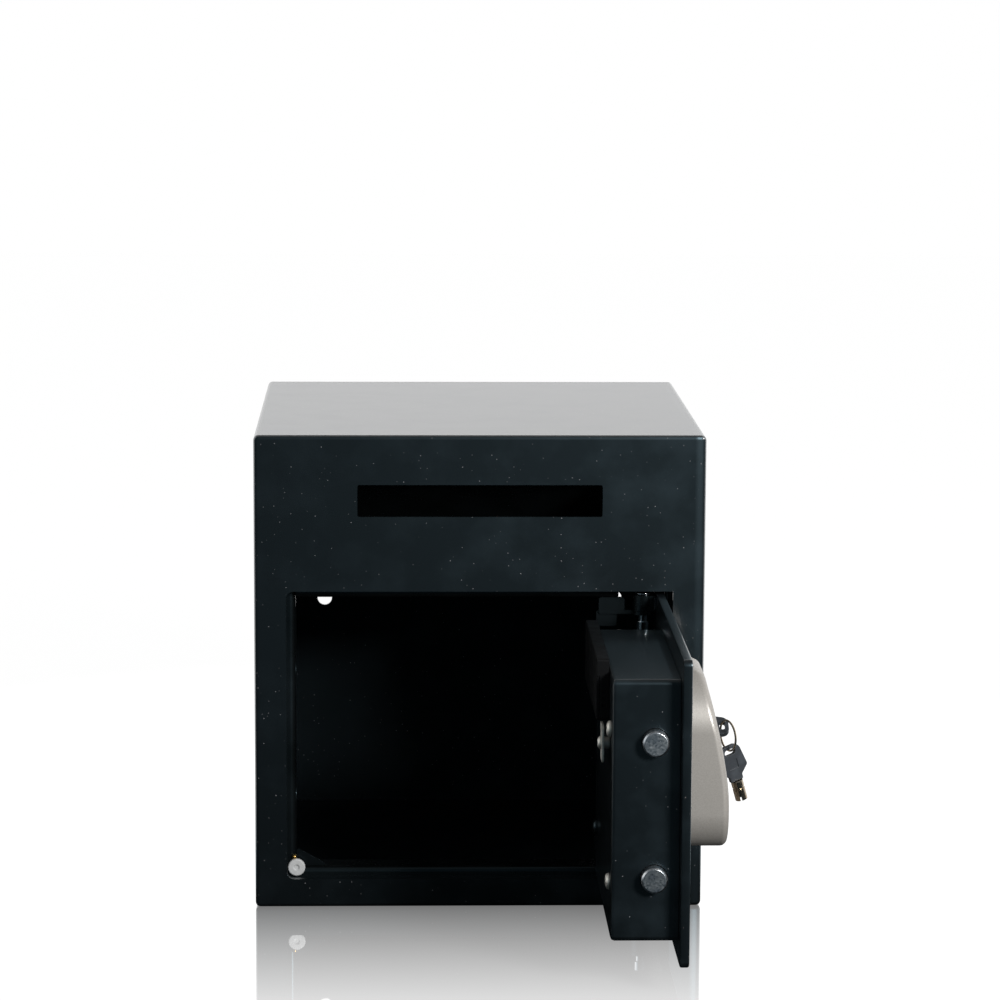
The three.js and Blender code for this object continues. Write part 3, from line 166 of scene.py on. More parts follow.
@dataclass(frozen=True)
class PowderCoat(Finish):
    """Black polyester powder coat, sprayed and baked: satin, with a glossy skin at a low angle.

    Handling leaves a pale film on it that shows as soft clouds, and dust baked into it
    shows as specks. The film is partly painted light, paler towards +X on the lamp's side.
    Inside the body the gun hardly reached, so the coat is dry and matt.
    Towards the body's right edge the sheet is drawn in a little.
    """

    # Orange peel, at about its real width and depth.
    ripple_mm: float = 2.4
    ripple_depth_mm: float = 0.006
    ripple_detail: float = 1.5
    cloud_mm: float = 34.0
    cloud_detail: float = 5.0
    cloud_ends: tuple[float, float] = (0.46, 0.74)
    cloud_share: float = 0.55
    # The pale colour of the handling film, also used as painted light where the film grows towards +X.
    film_and_light_colour: str = "#20272b"
    # Painted light: the film grows towards +X, the lamp's side, between these places, from its least share to
    # all of it.
    painted_light_reach: tuple[float, float] = (-0.1, 0.17)
    painted_light_least: float = 0.35
    # One speck to each cell of this size, and the share of the cells whose speck is hidden.
    speck_mm: float = 4.6
    speck_hidden: float = 0.35
    speck_share: float = 0.9
    # Real specks are about 0.2 mm. Drawn larger, so that they show, with a soft edge round a core.
    speck_size_mm: float = 0.5
    speck_core: float = 0.5
    speck_colour: str = "#8d9296"
    speck_warm: str = "#7d6a66"
    gloss_drift: float = 0.03
    skin: float = 0.6
    skin_roughness: float = 0.1
    sheen_tint: str = "#cdf0ff"
    dry_inside: bool = True
    dry_roughness: float = 0.75
    dry_wall_mm: float = 1.5
    drawn_in_mm: float = 9.0
    drawn_depth_mm: float = 2.2

    def dress(self, tree: bpy.types.NodeTree, shader: bpy.types.Node, place: bpy.types.NodeSocket) -> None:
        """Orange peel in the relief, clouds, painted light and specks in the colour, and a dry coat inside.

        Args:
            tree: the material's tree.
            shader: its shader.
            place: the coordinates that its patterns lie in, in metres.
        """
        feed(shader, {
            "Specular Tint": linear(self.sheen_tint),
            "Coat Roughness": self.skin_roughness,
            "Coat Weight": self.skin,
        })
        axes = add(tree, "SeparateXYZ", [place])
        noise = add(tree, "TexNoise", {
            "Vector": place, "Scale": per_metre(self.cloud_mm), "Detail": self.cloud_detail,
        })
        clouds = add(tree, "MapRange", [noise, *self.cloud_ends, 0.0, self.cloud_share])
        gloss = add(tree, "MapRange", [clouds, 0.0, 1.0, self.roughness, self.roughness + self.gloss_drift])
        ripple = add(tree, "TexNoise", {
            "Vector": place, "Scale": per_metre(self.ripple_mm), "Detail": self.ripple_detail,
        })
        peel = add(tree, "Bump", {"Height": ripple, "Distance": self.ripple_depth_mm * MM})
        if self.dry_inside:
            dry = self.dry(tree, axes)
            gloss = add(tree, "MapRange", [dry, 0.0, 1.0, gloss, self.dry_roughness])
            feed(shader, {"Coat Weight": add(tree, "MapRange", [dry, 0.0, 1.0, self.skin, 0.0])})
            feed(peel, {"Normal": self.drawn(tree, axes)})
        colour = self.dusty(tree, place, self.filmed_and_lit(tree, axes, clouds))
        feed(shader, {"Base Color": colour, "Roughness": gloss, "Normal": peel})

    def filmed_and_lit(
        self, tree: bpy.types.NodeTree, axes: bpy.types.Node, clouds: bpy.types.Node,
    ) -> bpy.types.NodeSocket:
        """Lays the film of handling over the coat's colour, with painted light growing towards +X.

        Args:
            tree: the material's tree.
            axes: the place along X, Y and Z.
            clouds: how strong the film is.

        Returns:
            The colour.
        """
        # Painted light: the film grows stronger towards +X, where the lamp stands.
        reach = add(tree, "MapRange", [axes.outputs["X"], *self.painted_light_reach, self.painted_light_least, 1.0])
        share = add(tree, "Math", [clouds, reach], operation="MULTIPLY")
        film = {0: share, 6: linear(self.colour), 7: linear(self.film_and_light_colour)}
        return add(tree, "Mix", film, data_type="RGBA").outputs[2]

    def dusty(
        self, tree: bpy.types.NodeTree, place: bpy.types.NodeSocket, film: bpy.types.NodeSocket,
    ) -> bpy.types.NodeSocket:
        """Scatters grey and brownish specks over a colour.

        Args:
            tree: the material's tree.
            place: the coordinates that the specks lie in.
            film: the colour beneath, with its film of handling and painted light.

        Returns:
            The colour.
        """
        cells = add(tree, "TexVoronoi", {"Vector": place, "Scale": per_metre(self.speck_mm)})
        edge = self.speck_size_mm / self.speck_mm
        near = add(tree, "MapRange", [cells, edge * self.speck_core, edge, 1.0, 0.0])
        chance = add(tree, "SeparateColor", [cells.outputs["Color"]])
        shown = add(tree, "MapRange", [chance, self.speck_hidden, 1.0, 0.0, self.speck_share])
        dust = add(tree, "Math", [near, shown], operation="MULTIPLY")
        tones = {0: chance.outputs["Green"], 6: linear(self.speck_colour), 7: linear(self.speck_warm)}
        grit = add(tree, "Mix", tones, data_type="RGBA")
        return add(tree, "Mix", {0: dust, 6: film, 7: grit.outputs[2]}, data_type="RGBA").outputs[2]

    def dry(self, tree: bpy.types.NodeTree, axes: bpy.types.Node) -> bpy.types.Node:
        """Finds the space inside the body's walls, where the coat is dry.

        Args:
            tree: the material's tree.
            axes: the place along X, Y and Z.

        Returns:
            A node that gives 1 inside, and 0 on the walls and outside them.
        """
        wall = self.dry_wall_mm * MM
        body_low, body_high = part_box("body_shell")
        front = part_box("front_panel")[1].y
        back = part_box("back_panel")[0].y
        low = Vector((body_low.x + wall, front - wall, body_low.z + wall))
        high = Vector((body_high.x - wall, back + wall, body_high.z - wall))
        inside: bpy.types.Node | None = None
        for axis, start, end in zip("XYZ", low, high):
            away = add(tree, "Math", [axes.outputs[axis], (start + end) / 2], operation="SUBTRACT")
            reach = add(tree, "Math", [away], operation="ABSOLUTE")
            near = add(tree, "Math", [reach, (end - start) / 2], operation="LESS_THAN")
            inside = near if inside is None else add(tree, "Math", [inside, near], operation="MULTIPLY")
        return inside

    def drawn(self, tree: bpy.types.NodeTree, axes: bpy.types.Node) -> bpy.types.Node:
        """Lets the sheet fall away towards the body's right edge, steeper the nearer to it.

        Args:
            tree: the material's tree.
            axes: the place along X, Y and Z.

        Returns:
            The node that gives the tilted surface.
        """
        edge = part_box("body_shell")[1].x
        fold = add(tree, "MapRange", [axes.outputs["X"], edge - self.drawn_in_mm * MM, edge, 1.0, 0.0])
        rest = add(tree, "Math", [1.0, fold], operation="SUBTRACT")
        steep = add(tree, "Math", [rest, 2.0], operation="POWER")
        bulge = add(tree, "Math", [1.0, steep], operation="SUBTRACT")
        return add(tree, "Bump", {"Height": bulge, "Distance": self.drawn_depth_mm * MM})


@dataclass(frozen=True)
class InnerPaint(Finish):
    """Thin sprayed enamel inside the body: less gloss, drier where the gun missed."""

    patch_mm: float = 35.0
    patch_colour: str = "#1b2023"
    gloss_drift: tuple[float, float] = (-0.04, 0.06)
    # Real spray grain is about 0.3 mm. Drawn coarser, so that it shows.
    grain_mm: float = 1.6
    grain_depth_mm: float = 0.006
    sheen_tint: str = "#cdf0ff"

    def dress(self, tree: bpy.types.NodeTree, shader: bpy.types.Node, place: bpy.types.NodeSocket) -> None:
        """Dry patches in colour and gloss, and a spray grain.

        Args:
            tree: the material's tree.
            shader: its shader.
            place: the coordinates that its patterns lie in, in metres.
        """
        patch = add(tree, "TexNoise", {"Vector": place, "Scale": per_metre(self.patch_mm), "Detail": 4.0})
        share = add(tree, "MapRange", [patch, *NOISE_ENDS, 0.0, 1.0])
        tones = {0: share, 6: linear(self.colour), 7: linear(self.patch_colour)}
        gloss = add(tree, "MapRange", [patch, *NOISE_ENDS, *(self.roughness + d for d in self.gloss_drift)])
        grain = add(tree, "TexNoise", {"Vector": place, "Scale": per_metre(self.grain_mm), "Detail": 2.0})
        feed(shader, {
            "Specular Tint": linear(self.sheen_tint),
            "Base Color": add(tree, "Mix", tones, data_type="RGBA").outputs[2],
            "Roughness": gloss,
            "Normal": add(tree, "Bump", {"Height": grain, "Distance": self.grain_depth_mm * MM}),
        })


@dataclass(frozen=True)
class PlatedMetal(Finish):
    """Plated steel: bright, with hairline scratches and a slight wander in the gloss."""

    metallic: float = 1.0
    # Real hairlines are about 0.03 mm. Drawn as coarse as they need to show.
    scratch_mm: float = 0.5
    scratch_depth_mm: float = 0.004
    drawn: tuple[float, float, float] = (1.0, 1.0, 1.0)
    cloud: str = "#9aa6b4"
    cloud_mm: float = 6.0
    cloud_share: float = 0.35
    gloss_drift: tuple[float, float] = (-0.06, 0.12)
    gloss_least: float = 0.03

    def dress(self, tree: bpy.types.NodeTree, shader: bpy.types.Node, place: bpy.types.NodeSocket) -> None:
        """Clouds in the colour, and scratches in gloss and relief.

        Args:
            tree: the material's tree.
            shader: its shader.
            place: the coordinates that its patterns lie in, in metres.
        """
        cloud = add(tree, "TexNoise", {"Vector": place, "Scale": per_metre(self.cloud_mm), "Detail": 3.0})
        share = add(tree, "MapRange", [cloud, *NOISE_ENDS, 0.0, self.cloud_share])
        tones = {0: share, 6: linear(self.colour), 7: linear(self.cloud)}
        along = add(tree, "Mapping", {"Vector": place, "Scale": Vector(self.drawn)})
        scratch = add(tree, "TexNoise", {"Vector": along, "Scale": per_metre(self.scratch_mm), "Detail": 3.0})
        smooth = max(self.roughness + self.gloss_drift[0], self.gloss_least)
        rough = self.roughness + self.gloss_drift[1]
        feed(shader, {
            "Base Color": add(tree, "Mix", tones, data_type="RGBA").outputs[2],
            "Roughness": add(tree, "MapRange", [scratch, *NOISE_ENDS, smooth, rough]),
            "Normal": add(tree, "Bump", {"Height": scratch, "Distance": self.scratch_depth_mm * MM}),
        })


@dataclass(frozen=True)
class MetallicPaint(Finish):
    """Champagne silver lacquer over moulded ABS: flakes that sparkle under a soft clear coat."""

    # Real flakes are about 0.03 mm. Drawn many times as coarse, so that they show.
    flake_mm: float = 0.55
    flake_colour: str = "#8f8a83"
    flake_share: float = 0.5
    flake_depth_mm: float = 0.006
    # Painted shade: darker patches laid at random over the silver.
    shadow_colour: str = "#a39c94"
    shadow_mm: float = 40.0
    shadow_share: float = 0.25
    gloss_drift: tuple[float, float] = (-0.06, 0.1)
    clear_coat: float = 0.25
    clear_coat_roughness: float = 0.25

    def dress(self, tree: bpy.types.NodeTree, shader: bpy.types.Node, place: bpy.types.NodeSocket) -> None:
        """Flakes in colour, gloss and tilt, and a slow drift of painted shade over the colour.

        Args:
            tree: the material's tree.
            shader: its shader.
            place: the coordinates that its patterns lie in, in metres.
        """
        flakes = add(tree, "TexVoronoi", {"Vector": place, "Scale": per_metre(self.flake_mm)})
        tint = add(tree, "SeparateColor", [flakes.outputs["Color"]])
        share = add(tree, "MapRange", [tint, 0.0, 1.0, 0.0, self.flake_share])
        tones = {0: share, 6: linear(self.colour), 7: linear(self.flake_colour)}
        colour = add(tree, "Mix", tones, data_type="RGBA").outputs[2]
        noise = add(tree, "TexNoise", {"Vector": place, "Scale": per_metre(self.shadow_mm), "Detail": 3.0})
        drift = add(tree, "MapRange", [noise, *NOISE_ENDS, 0.0, self.shadow_share])
        shaded = {0: drift, 6: colour, 7: linear(self.shadow_colour)}
        gloss = add(tree, "MapRange", [tint, 0.0, 1.0, *(self.roughness + d for d in self.gloss_drift)])
        feed(shader, {
            "Coat Weight": self.clear_coat,
            "Coat Roughness": self.clear_coat_roughness,
            "Base Color": add(tree, "Mix", shaded, data_type="RGBA").outputs[2],
            "Roughness": gloss,
            "Normal": add(tree, "Bump", {"Height": tint, "Distance": self.flake_depth_mm * MM}),
        })


@dataclass(frozen=True)
class MouldedPlastic(Finish):
    """Injection-moulded plastic: the spark-eroded grain of its mould, polished where it is handled."""

    # Real spark-eroded grain is about 0.1 mm. Drawn coarser, so that it shows.
    grain_mm: float = 0.9
    grain_depth_mm: float = 0.012
    worn_colour: str = "#3b3d40"
    worn_mm: float = 12.0
    worn_ends: tuple[float, float] = (0.45, 0.7)
    worn_share: float = 0.35
    polish: float = 0.08
    mirror: float = 0.5

    def dress(self, tree: bpy.types.NodeTree, shader: bpy.types.Node, place: bpy.types.NodeSocket) -> None:
        """Mould grain in the relief, and handling in colour and gloss.

        Args:
            tree: the material's tree.
            shader: its shader.
            place: the coordinates that its patterns lie in, in metres.
        """
        handled = add(tree, "TexNoise", {"Vector": place, "Scale": per_metre(self.worn_mm), "Detail": 4.0})
        worn = add(tree, "MapRange", [handled, *self.worn_ends, 0.0, self.worn_share])
        tones = {0: worn, 6: linear(self.colour), 7: linear(self.worn_colour)}
        ends = (self.roughness + self.polish, self.roughness - self.polish)
        grain = add(tree, "TexNoise", {"Vector": place, "Scale": per_metre(self.grain_mm), "Detail": 2.0})
        feed(shader, {
            "Specular IOR Level": self.mirror,
            "Base Color": add(tree, "Mix", tones, data_type="RGBA").outputs[2],
            "Roughness": add(tree, "MapRange", [handled, *NOISE_ENDS, *ends]),
            "Normal": add(tree, "Bump", {"Height": grain, "Distance": self.grain_depth_mm * MM}),
        })


@dataclass(frozen=True)
class CellSleeve(Finish):
    """Shrunk PVC sleeve of a dry cell: glossy, with one plain band at the pole's end."""

    band_colour: str = "#b8783a"
    # Where the poles lie along Y, in metres.
    ends: tuple[float, ...] = (-0.334, -0.2825)
    band_mm: float = 12.0
    band_sharp: float = 0.98
    wrinkle_mm: float = 1.8
    wrinkle_depth_mm: float = 0.01
    gloss_drift: tuple[float, float] = (-0.06, 0.1)

    def dress(self, tree: bpy.types.NodeTree, shader: bpy.types.Node, place: bpy.types.NodeSocket) -> None:
        """A band of colour along Y near each pole, and fine wrinkles.

        Args:
            tree: the material's tree.
            shader: its shader.
            place: the coordinates that its patterns lie in, in metres.
        """
        along = add(tree, "SeparateXYZ", [place]).outputs["Y"]
        reach = self.band_mm * MM
        band: bpy.types.Node | None = None
        for end in self.ends:
            away = add(tree, "Math", [along, end], operation="SUBTRACT")
            near = add(tree, "Math", [away], operation="ABSOLUTE")
            inside = add(tree, "MapRange", [near, reach * self.band_sharp, reach, 1.0, 0.0])
            band = inside if band is None else add(tree, "Math", [band, inside], operation="MAXIMUM")
        tones = {0: band, 6: linear(self.colour), 7: linear(self.band_colour)}
        wrinkle = add(tree, "TexNoise", {"Vector": place, "Scale": per_metre(self.wrinkle_mm), "Detail": 3.0})
        gloss = add(tree, "MapRange", [wrinkle, *NOISE_ENDS, *(self.roughness + d for d in self.gloss_drift)])
        feed(shader, {
            "Base Color": add(tree, "Mix", tones, data_type="RGBA").outputs[2],
            "Roughness": gloss,
            "Normal": add(tree, "Bump", {"Height": wrinkle, "Distance": self.wrinkle_depth_mm * MM}),
        })


@dataclass(frozen=True)
class Lens(Finish):
    """Clear tinted acrylic of a light guide: smooth, with a little haze inside."""

    clear: float = 0.6
    haze_mm: float = 2.0
    haze_depth_mm: float = 0.004
    gloss_drift: float = 0.12

    def dress(self, tree: bpy.types.NodeTree, shader: bpy.types.Node, place: bpy.types.NodeSocket) -> None:
        """Light passes through, and haze wanders in the gloss.

        Args:
            tree: the material's tree.
            shader: its shader.
            place: the coordinates that its patterns lie in, in metres.
        """
        haze = add(tree, "TexNoise", {"Vector": place, "Scale": per_metre(self.haze_mm), "Detail": 2.0})
        ends = (self.roughness, self.roughness + self.gloss_drift)
        feed(shader, {
            "Transmission Weight": self.clear,
            "Roughness": add(tree, "MapRange", [haze, *NOISE_ENDS, *ends]),
            "Normal": add(tree, "Bump", {"Height": haze, "Distance": self.haze_depth_mm * MM}),
        })


class Looks(Enum):
    """The finishes of this safe."""

    # Polyester powder coat on folded steel: satin black that turns pale and glossy at a low angle.
    SHELL = PowderCoat("body_powder_coat", "#060708", roughness=0.38, ior=1.52)
    # The same coat on the door, which was sprayed on all sides: fewer specks, and nowhere dry.
    DOOR = PowderCoat("door_powder_coat", "#060708", roughness=0.38, ior=1.52, speck_mm=5.5, dry_inside=False)
    # Sprayed enamel on pressed steel: a deep black with soft streaks of light.
    INSIDE = InnerPaint("inner_black_enamel", "#070909", roughness=0.27, patch_colour="#0d1011")
    # Bright chrome on turned steel: a clear mirror, dark in its middle and bright at its rim.
    CHROME = PlatedMetal("bright_chrome", "#d5d8da", roughness=0.1)
    # Chrome on round bar, scuffed by use: a soft mirror with blue-grey clouds and coarse scuffs.
    BOLT = PlatedMetal(
        "chromed_bolt", "#d3d6d8", roughness=0.3, scratch_mm=1.6, scratch_depth_mm=0.05,
        cloud="#7f8d9b", cloud_mm=5.0, cloud_share=0.7,
    )
    # Cold-drawn steel, left bare: mid grey, with marks drawn along Y.
    STEEL = PlatedMetal("drawn_steel", "#8f9293", roughness=0.3, drawn=(1.0, 0.15, 1.0), cloud="#6f6a64")
    # Dull zinc plate on pressed steel: a pale, mottled grey with no sharp reflection.
    ZINC = PlatedMetal(
        "dull_zinc_plate", "#e2e0d8", roughness=0.5, scratch_mm=1.4, scratch_depth_mm=0.06,
        cloud="#8b8a80", cloud_mm=2.0,
    )
    # Nickel plate on brass and wire: a warm mirror, browner where it has worn.
    NICKEL = PlatedMetal("warm_nickel_plate", "#c3b6a2", roughness=0.16, cloud="#8d745a", cloud_mm=4.0)
    # Turned brass: a small yellow spark, brown in its shade.
    BRASS = PlatedMetal("turned_brass", "#c8a461", roughness=0.25, cloud="#8f6a35", cloud_mm=2.0)
    # Metallic lacquer on moulded ABS: a pale warm silver that sparkles a little.
    SILVER = MetallicPaint("champagne_silver_lacquer", "#b3afa9", roughness=0.42, metallic=0.4)
    # Pale filled rubber, moulded: a matt light grey, darker where the door strikes it.
    RUBBER = MouldedPlastic(
        "stop_rubber", "#c6c7c7", roughness=0.7, worn_colour="#b0b1b1", worn_mm=5.0, grain_mm=0.7,
    )
    # Black ABS, moulded with a fine grain: near black, with a weak and wide gloss.
    BLACK_ABS = MouldedPlastic("black_abs", "#0a0b0c", roughness=0.5, worn_colour="#121315", mirror=0.11)
    # Filled nylon, moulded: dark grey, paler where fingers have rubbed it.
    BOW = MouldedPlastic("key_bow_nylon", "#2c3035", roughness=0.45, worn_colour="#565b60", worn_mm=7.0)
    # Silicone rubber, moulded: a matt off-white, greyer where it is pressed.
    CAP = MouldedPlastic("pale_silicone_key", "#cfd0ce", roughness=0.55, worn_colour="#b1b0ac", worn_mm=6.0)
    # Ink printed on the keys: dark grey and matt.
    INK = MouldedPlastic("printed_key_ink", "#1d2023", roughness=0.6, grain_mm=0.5)
    # White ink laid on the knob's grip: matt white, greyed by handling.
    MARK = MouldedPlastic("white_mark_ink", "#e6e6e2", roughness=0.5, worn_colour="#b9b9b4", grain_mm=0.5)
    # Green acrylic, moulded clear: light passes through it, and its face is glossy.
    LENS = Lens("green_light_guide", "#7fd08d", roughness=0.08, ior=1.49)
    # PVC sleeve shrunk on a dry cell: dark and glossy, with a copper-coloured band.
    CELL = CellSleeve("dry_cell_sleeve", "#22262b", roughness=0.25)


# Geometry helpers


def dress_node(name: str, look: Looks, edge_mm: float = 0.0) -> None:
    """Gives a CAD node its finish, smooth curves and softened edges.

    Args:
        name: the node.
        look: its finish.
        edge_mm: the width of the rounding drawn on its sharp edges, 0 for none.
    """
    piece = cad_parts[name]
    piece.data.materials.clear()
    piece.data.materials.append(look.value.material())
    soften(piece, edge_mm)
    log.info("%s: %s", name, look.value.name)


def soften(piece: bpy.types.Object, edge_mm: float, angle: float = 32.0, margin: float = 6.0) -> None:
    """Smooths a piece's curves and rounds its sharp edges.

    Args:
        piece: a mesh object.
        edge_mm: the rounding's width, 0 for none.
        angle: edges flatter than this, in degrees, count as part of a curve.
        margin: how much sharper an edge has to be to part the shading, in degrees.
    """
    mesh = piece.data
    if mesh.has_custom_normals:
        mesh.normals_split_custom_set([(0.0, 0.0, 0.0)] * len(mesh.loops))
    mesh.shade_smooth()
    weld = piece.modifiers.new("weld", "WELD")
    weld.merge_threshold = 0.005 * MM
    flat = piece.modifiers.new("flat", "DECIMATE")
    flat.decimate_type = "DISSOLVE"
    flat.angle_limit = math.radians(0.4)
    if edge_mm > 0:
        bevel = piece.modifiers.new("edge", "BEVEL")
        bevel.width = edge_mm * MM
        bevel.segments = 2
        bevel.limit_method = "ANGLE"
        bevel.angle_limit = math.radians(angle)
        bevel.harden_normals = False
        bevel.use_clamp_overlap = True
    split = piece.modifiers.new("split", "EDGE_SPLIT")
    split.split_angle = math.radians(angle + margin)
    split.use_edge_sharp = False
    normals = piece.modifiers.new("normals", "WEIGHTED_NORMAL")
    normals.keep_sharp = True
    normals.weight = 75


def settled(name: str, mesh: bmesh.types.BMesh) -> bpy.types.Mesh:
    """Turns a bmesh into a mesh whose corners and faces lie in the same order on each run.

    Blender's spin, bisect and extrude leave them in an order that changes from run to run.

    Args:
        name: the mesh's name.
        mesh: the bmesh, which is freed.

    Returns:
        The mesh.
    """
    bmesh.ops.recalc_face_normals(mesh, faces=mesh.faces)
    corners = sorted(mesh.verts, key=lambda v: tuple(round(c, 7) for c in v.co))
    number = {vert: i for i, vert in enumerate(corners)}
    faces = []
    for face in mesh.faces:
        ring = [number[vert] for vert in face.verts]
        first = ring.index(min(ring))
        faces.append((*ring[first:], *ring[:first]))
    data = bpy.data.meshes.new(name)
    data.from_pydata([tuple(round(c, 8) for c in vert.co) for vert in corners], [], sorted(faces))
    mesh.free()
    return data


def new_piece(name: str, mesh: bmesh.types.BMesh, look: Looks, body: str) -> None:
    """Turns a bmesh into a finished piece that rides on a body.

    Args:
        name: the piece's name.
        mesh: its geometry, in the row frame.
        look: its finish.
        body: the CAD body that carries it.
    """
    piece = bpy.data.objects.new(name, settled(name, mesh))
    bpy.context.scene.collection.objects.link(piece)
    piece.data.materials.append(look.value.material())
    soften(piece, 0.0)
    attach(piece, body)
    log.info("%s: new piece on %s", name, body)


def dome(radius: float, height: float, power: float = 1.0, steps: int = 6) -> list[tuple[float, float]]:
    """A dome's profile, from its rim to its top.

    Args:
        radius: the rim's radius.
        height: the dome's height.
        power: 1 for an ellipse, and less for a fuller shoulder.
        steps: how many pieces the profile has.

    Returns:
        Radius and height pairs.
    """
    turns = [i * math.pi / (2 * steps) for i in range(steps)]
    return [*((radius * math.cos(a) ** power, height * math.sin(a)) for a in turns), (0.0, height)]


def turned(profile: list[tuple[float, float]], steps: int = 40) -> bmesh.types.BMesh:
    """A solid turned about +Z.

    Args:
        profile: radius and height pairs in metres, which start and end on the axis.
        steps: facets round the axis.

    Returns:
        The closed mesh.
    """
    mesh = bmesh.new()
    verts = [mesh.verts.new((radius, 0.0, height)) for radius, height in profile]
    edges = [mesh.edges.new(pair) for pair in zip(verts, verts[1:])]
    bmesh.ops.spin(
        mesh, geom=[*verts, *edges], cent=(0, 0, 0), axis=(0, 0, 1), angle=math.tau, steps=steps,
        use_merge=True,
    )
    bmesh.ops.remove_doubles(mesh, verts=mesh.verts, dist=1e-7)
    return mesh


def towards(direction: Vector, at: Vector) -> Matrix:
    """A matrix that stands +Z along a direction and +Y as near as it can to upright.

    Args:
        direction: where +Z goes.
        at: the origin's new place.

    Returns:
        The 4 by 4 matrix.
    """
    z = direction.normalized()
    x = UP.cross(z).normalized()
    y = z.cross(x)
    return Matrix.Translation(at) @ Matrix((x, y, z)).transposed().to_4x4()


@dataclass
class PanScrew:
    """A cross-recessed pan head screw. Only its head shows."""

    head_radius: float = 6.2 * MM
    head_height: float = 3.1 * MM
    recess: float = 3.4 * MM
    recess_width: float = 1.3 * MM
    recess_depth: float = 1.5 * MM
    recess_taper: float = 0.85
    # The recess is cut only above this share of the head's height.
    recess_foot: float = 0.3
    shank_radius: float = 2.4 * MM
    shank_length: float = 2.0 * MM
    shoulder: float = 0.6

    def build(
        self, name: str, at: Vector, turn: float, body: str, slot: str, look: Looks = Looks.ZINC,
    ) -> None:
        """Builds the head, which points at -X, with its cross recess.

        Args:
            name: the piece's name.
            at: the middle of the head's underside.
            turn: the recess's turn in radians.
            body: the CAD body that carries it.
            slot: the record's material slot. Not used.
            look: its finish.
        """
        head = turned([
            (0.0, -self.shank_length), (self.shank_radius, -self.shank_length), (self.shank_radius, 0.0),
            *dome(self.head_radius, self.head_height, self.shoulder),
        ])
        self.sink(head)
        stand = towards(Vector((-1, 0, 0)), at) @ Matrix.Rotation(turn, 4, "Z")
        bmesh.ops.transform(head, matrix=stand, verts=head.verts)
        new_piece(name, head, look, body)

    def sink(self, head: bmesh.types.BMesh) -> None:
        """Sinks the cross recess: cuts the crown along the cross, then lowers what lies within it.

        Args:
            head: the head, which points along +Z.
        """
        half = self.recess_width / 2
        for across in (Vector((1, 0, 0)), Vector((0, 1, 0))):
            for shift in (-half, half, -self.recess, self.recess):
                whole = [*head.verts, *head.edges, *head.faces]
                bmesh.ops.bisect_plane(head, geom=whole, plane_co=across * shift, plane_no=across, dist=1e-7)
        crown = self.head_height * self.recess_foot
        sunk = []
        for face in head.faces:
            middle = face.calc_center_median()
            arms = sorted((abs(middle.x), abs(middle.y)))
            if middle.z > crown and arms[0] < half and arms[1] < self.recess:
                sunk.append(face)
        grown = bmesh.ops.extrude_face_region(head, geom=sunk)["geom"]
        floor = [v for v in grown if isinstance(v, bmesh.types.BMVert)]
        bmesh.ops.delete(head, geom=sunk, context="FACES")
        for vert in floor:
            vert.co.z = self.head_height - self.recess_depth
            vert.co.x *= self.recess_taper
            vert.co.y *= self.recess_taper


# Sub-assemblies


@dataclass
class Carcass:
    """The body: shell, panels, jambs, hinge brackets and pins, deposit chute and door stop."""

    stud_radius: float = 2.2 * MM
    stud_height: float = 2.2 * MM
    stud_aside: float = 3.0 * MM
    stud_above: float = 8.2 * MM
    stud_sunk: float = 0.2 * MM
    stud_facets: int = 28
    shell: tuple[str, ...] = ("body_shell", "front_panel", "back_panel")
    inside: tuple[str, ...] = (
        "jamb_left", "jamb_top", "jamb_bottom", "hinge_post", "hinge_bracket_top", "hinge_bracket_bottom",
        "chute_hood", "anti_fish_comb", "bumper_gusset",
    )
    pins: tuple[str, ...] = ("hinge_pin_top", "hinge_pin_bottom")

    def dress(self) -> None:
        """Gives the carcass's nodes their finishes."""
        for names, look, edge_mm in (
            (self.shell, Looks.SHELL, 0.0), (self.inside, Looks.INSIDE, 0.5), (self.pins, Looks.CHROME, 0.3),
        ):
            for name in names:
                dress_node(name, look, edge_mm)
        dress_node("door_bumper", Looks.RUBBER, 0.4)

    def build(self) -> None:
        """Builds the brass stud above the door stop."""
        low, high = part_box("door_bumper")
        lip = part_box("jamb_left")[0].y
        at = Vector((
            low.x + self.stud_aside + self.stud_radius, lip - self.stud_sunk,
            (low.z + high.z) / 2 + self.stud_above,
        ))
        stud = turned([(0.0, 0.0), *dome(self.stud_radius, self.stud_height)], self.stud_facets)
        bmesh.ops.transform(stud, matrix=towards(Vector((0, -1, 0)), at), verts=stud.verts)
        new_piece("brass_stud", stud, Looks.BRASS, "carcass")


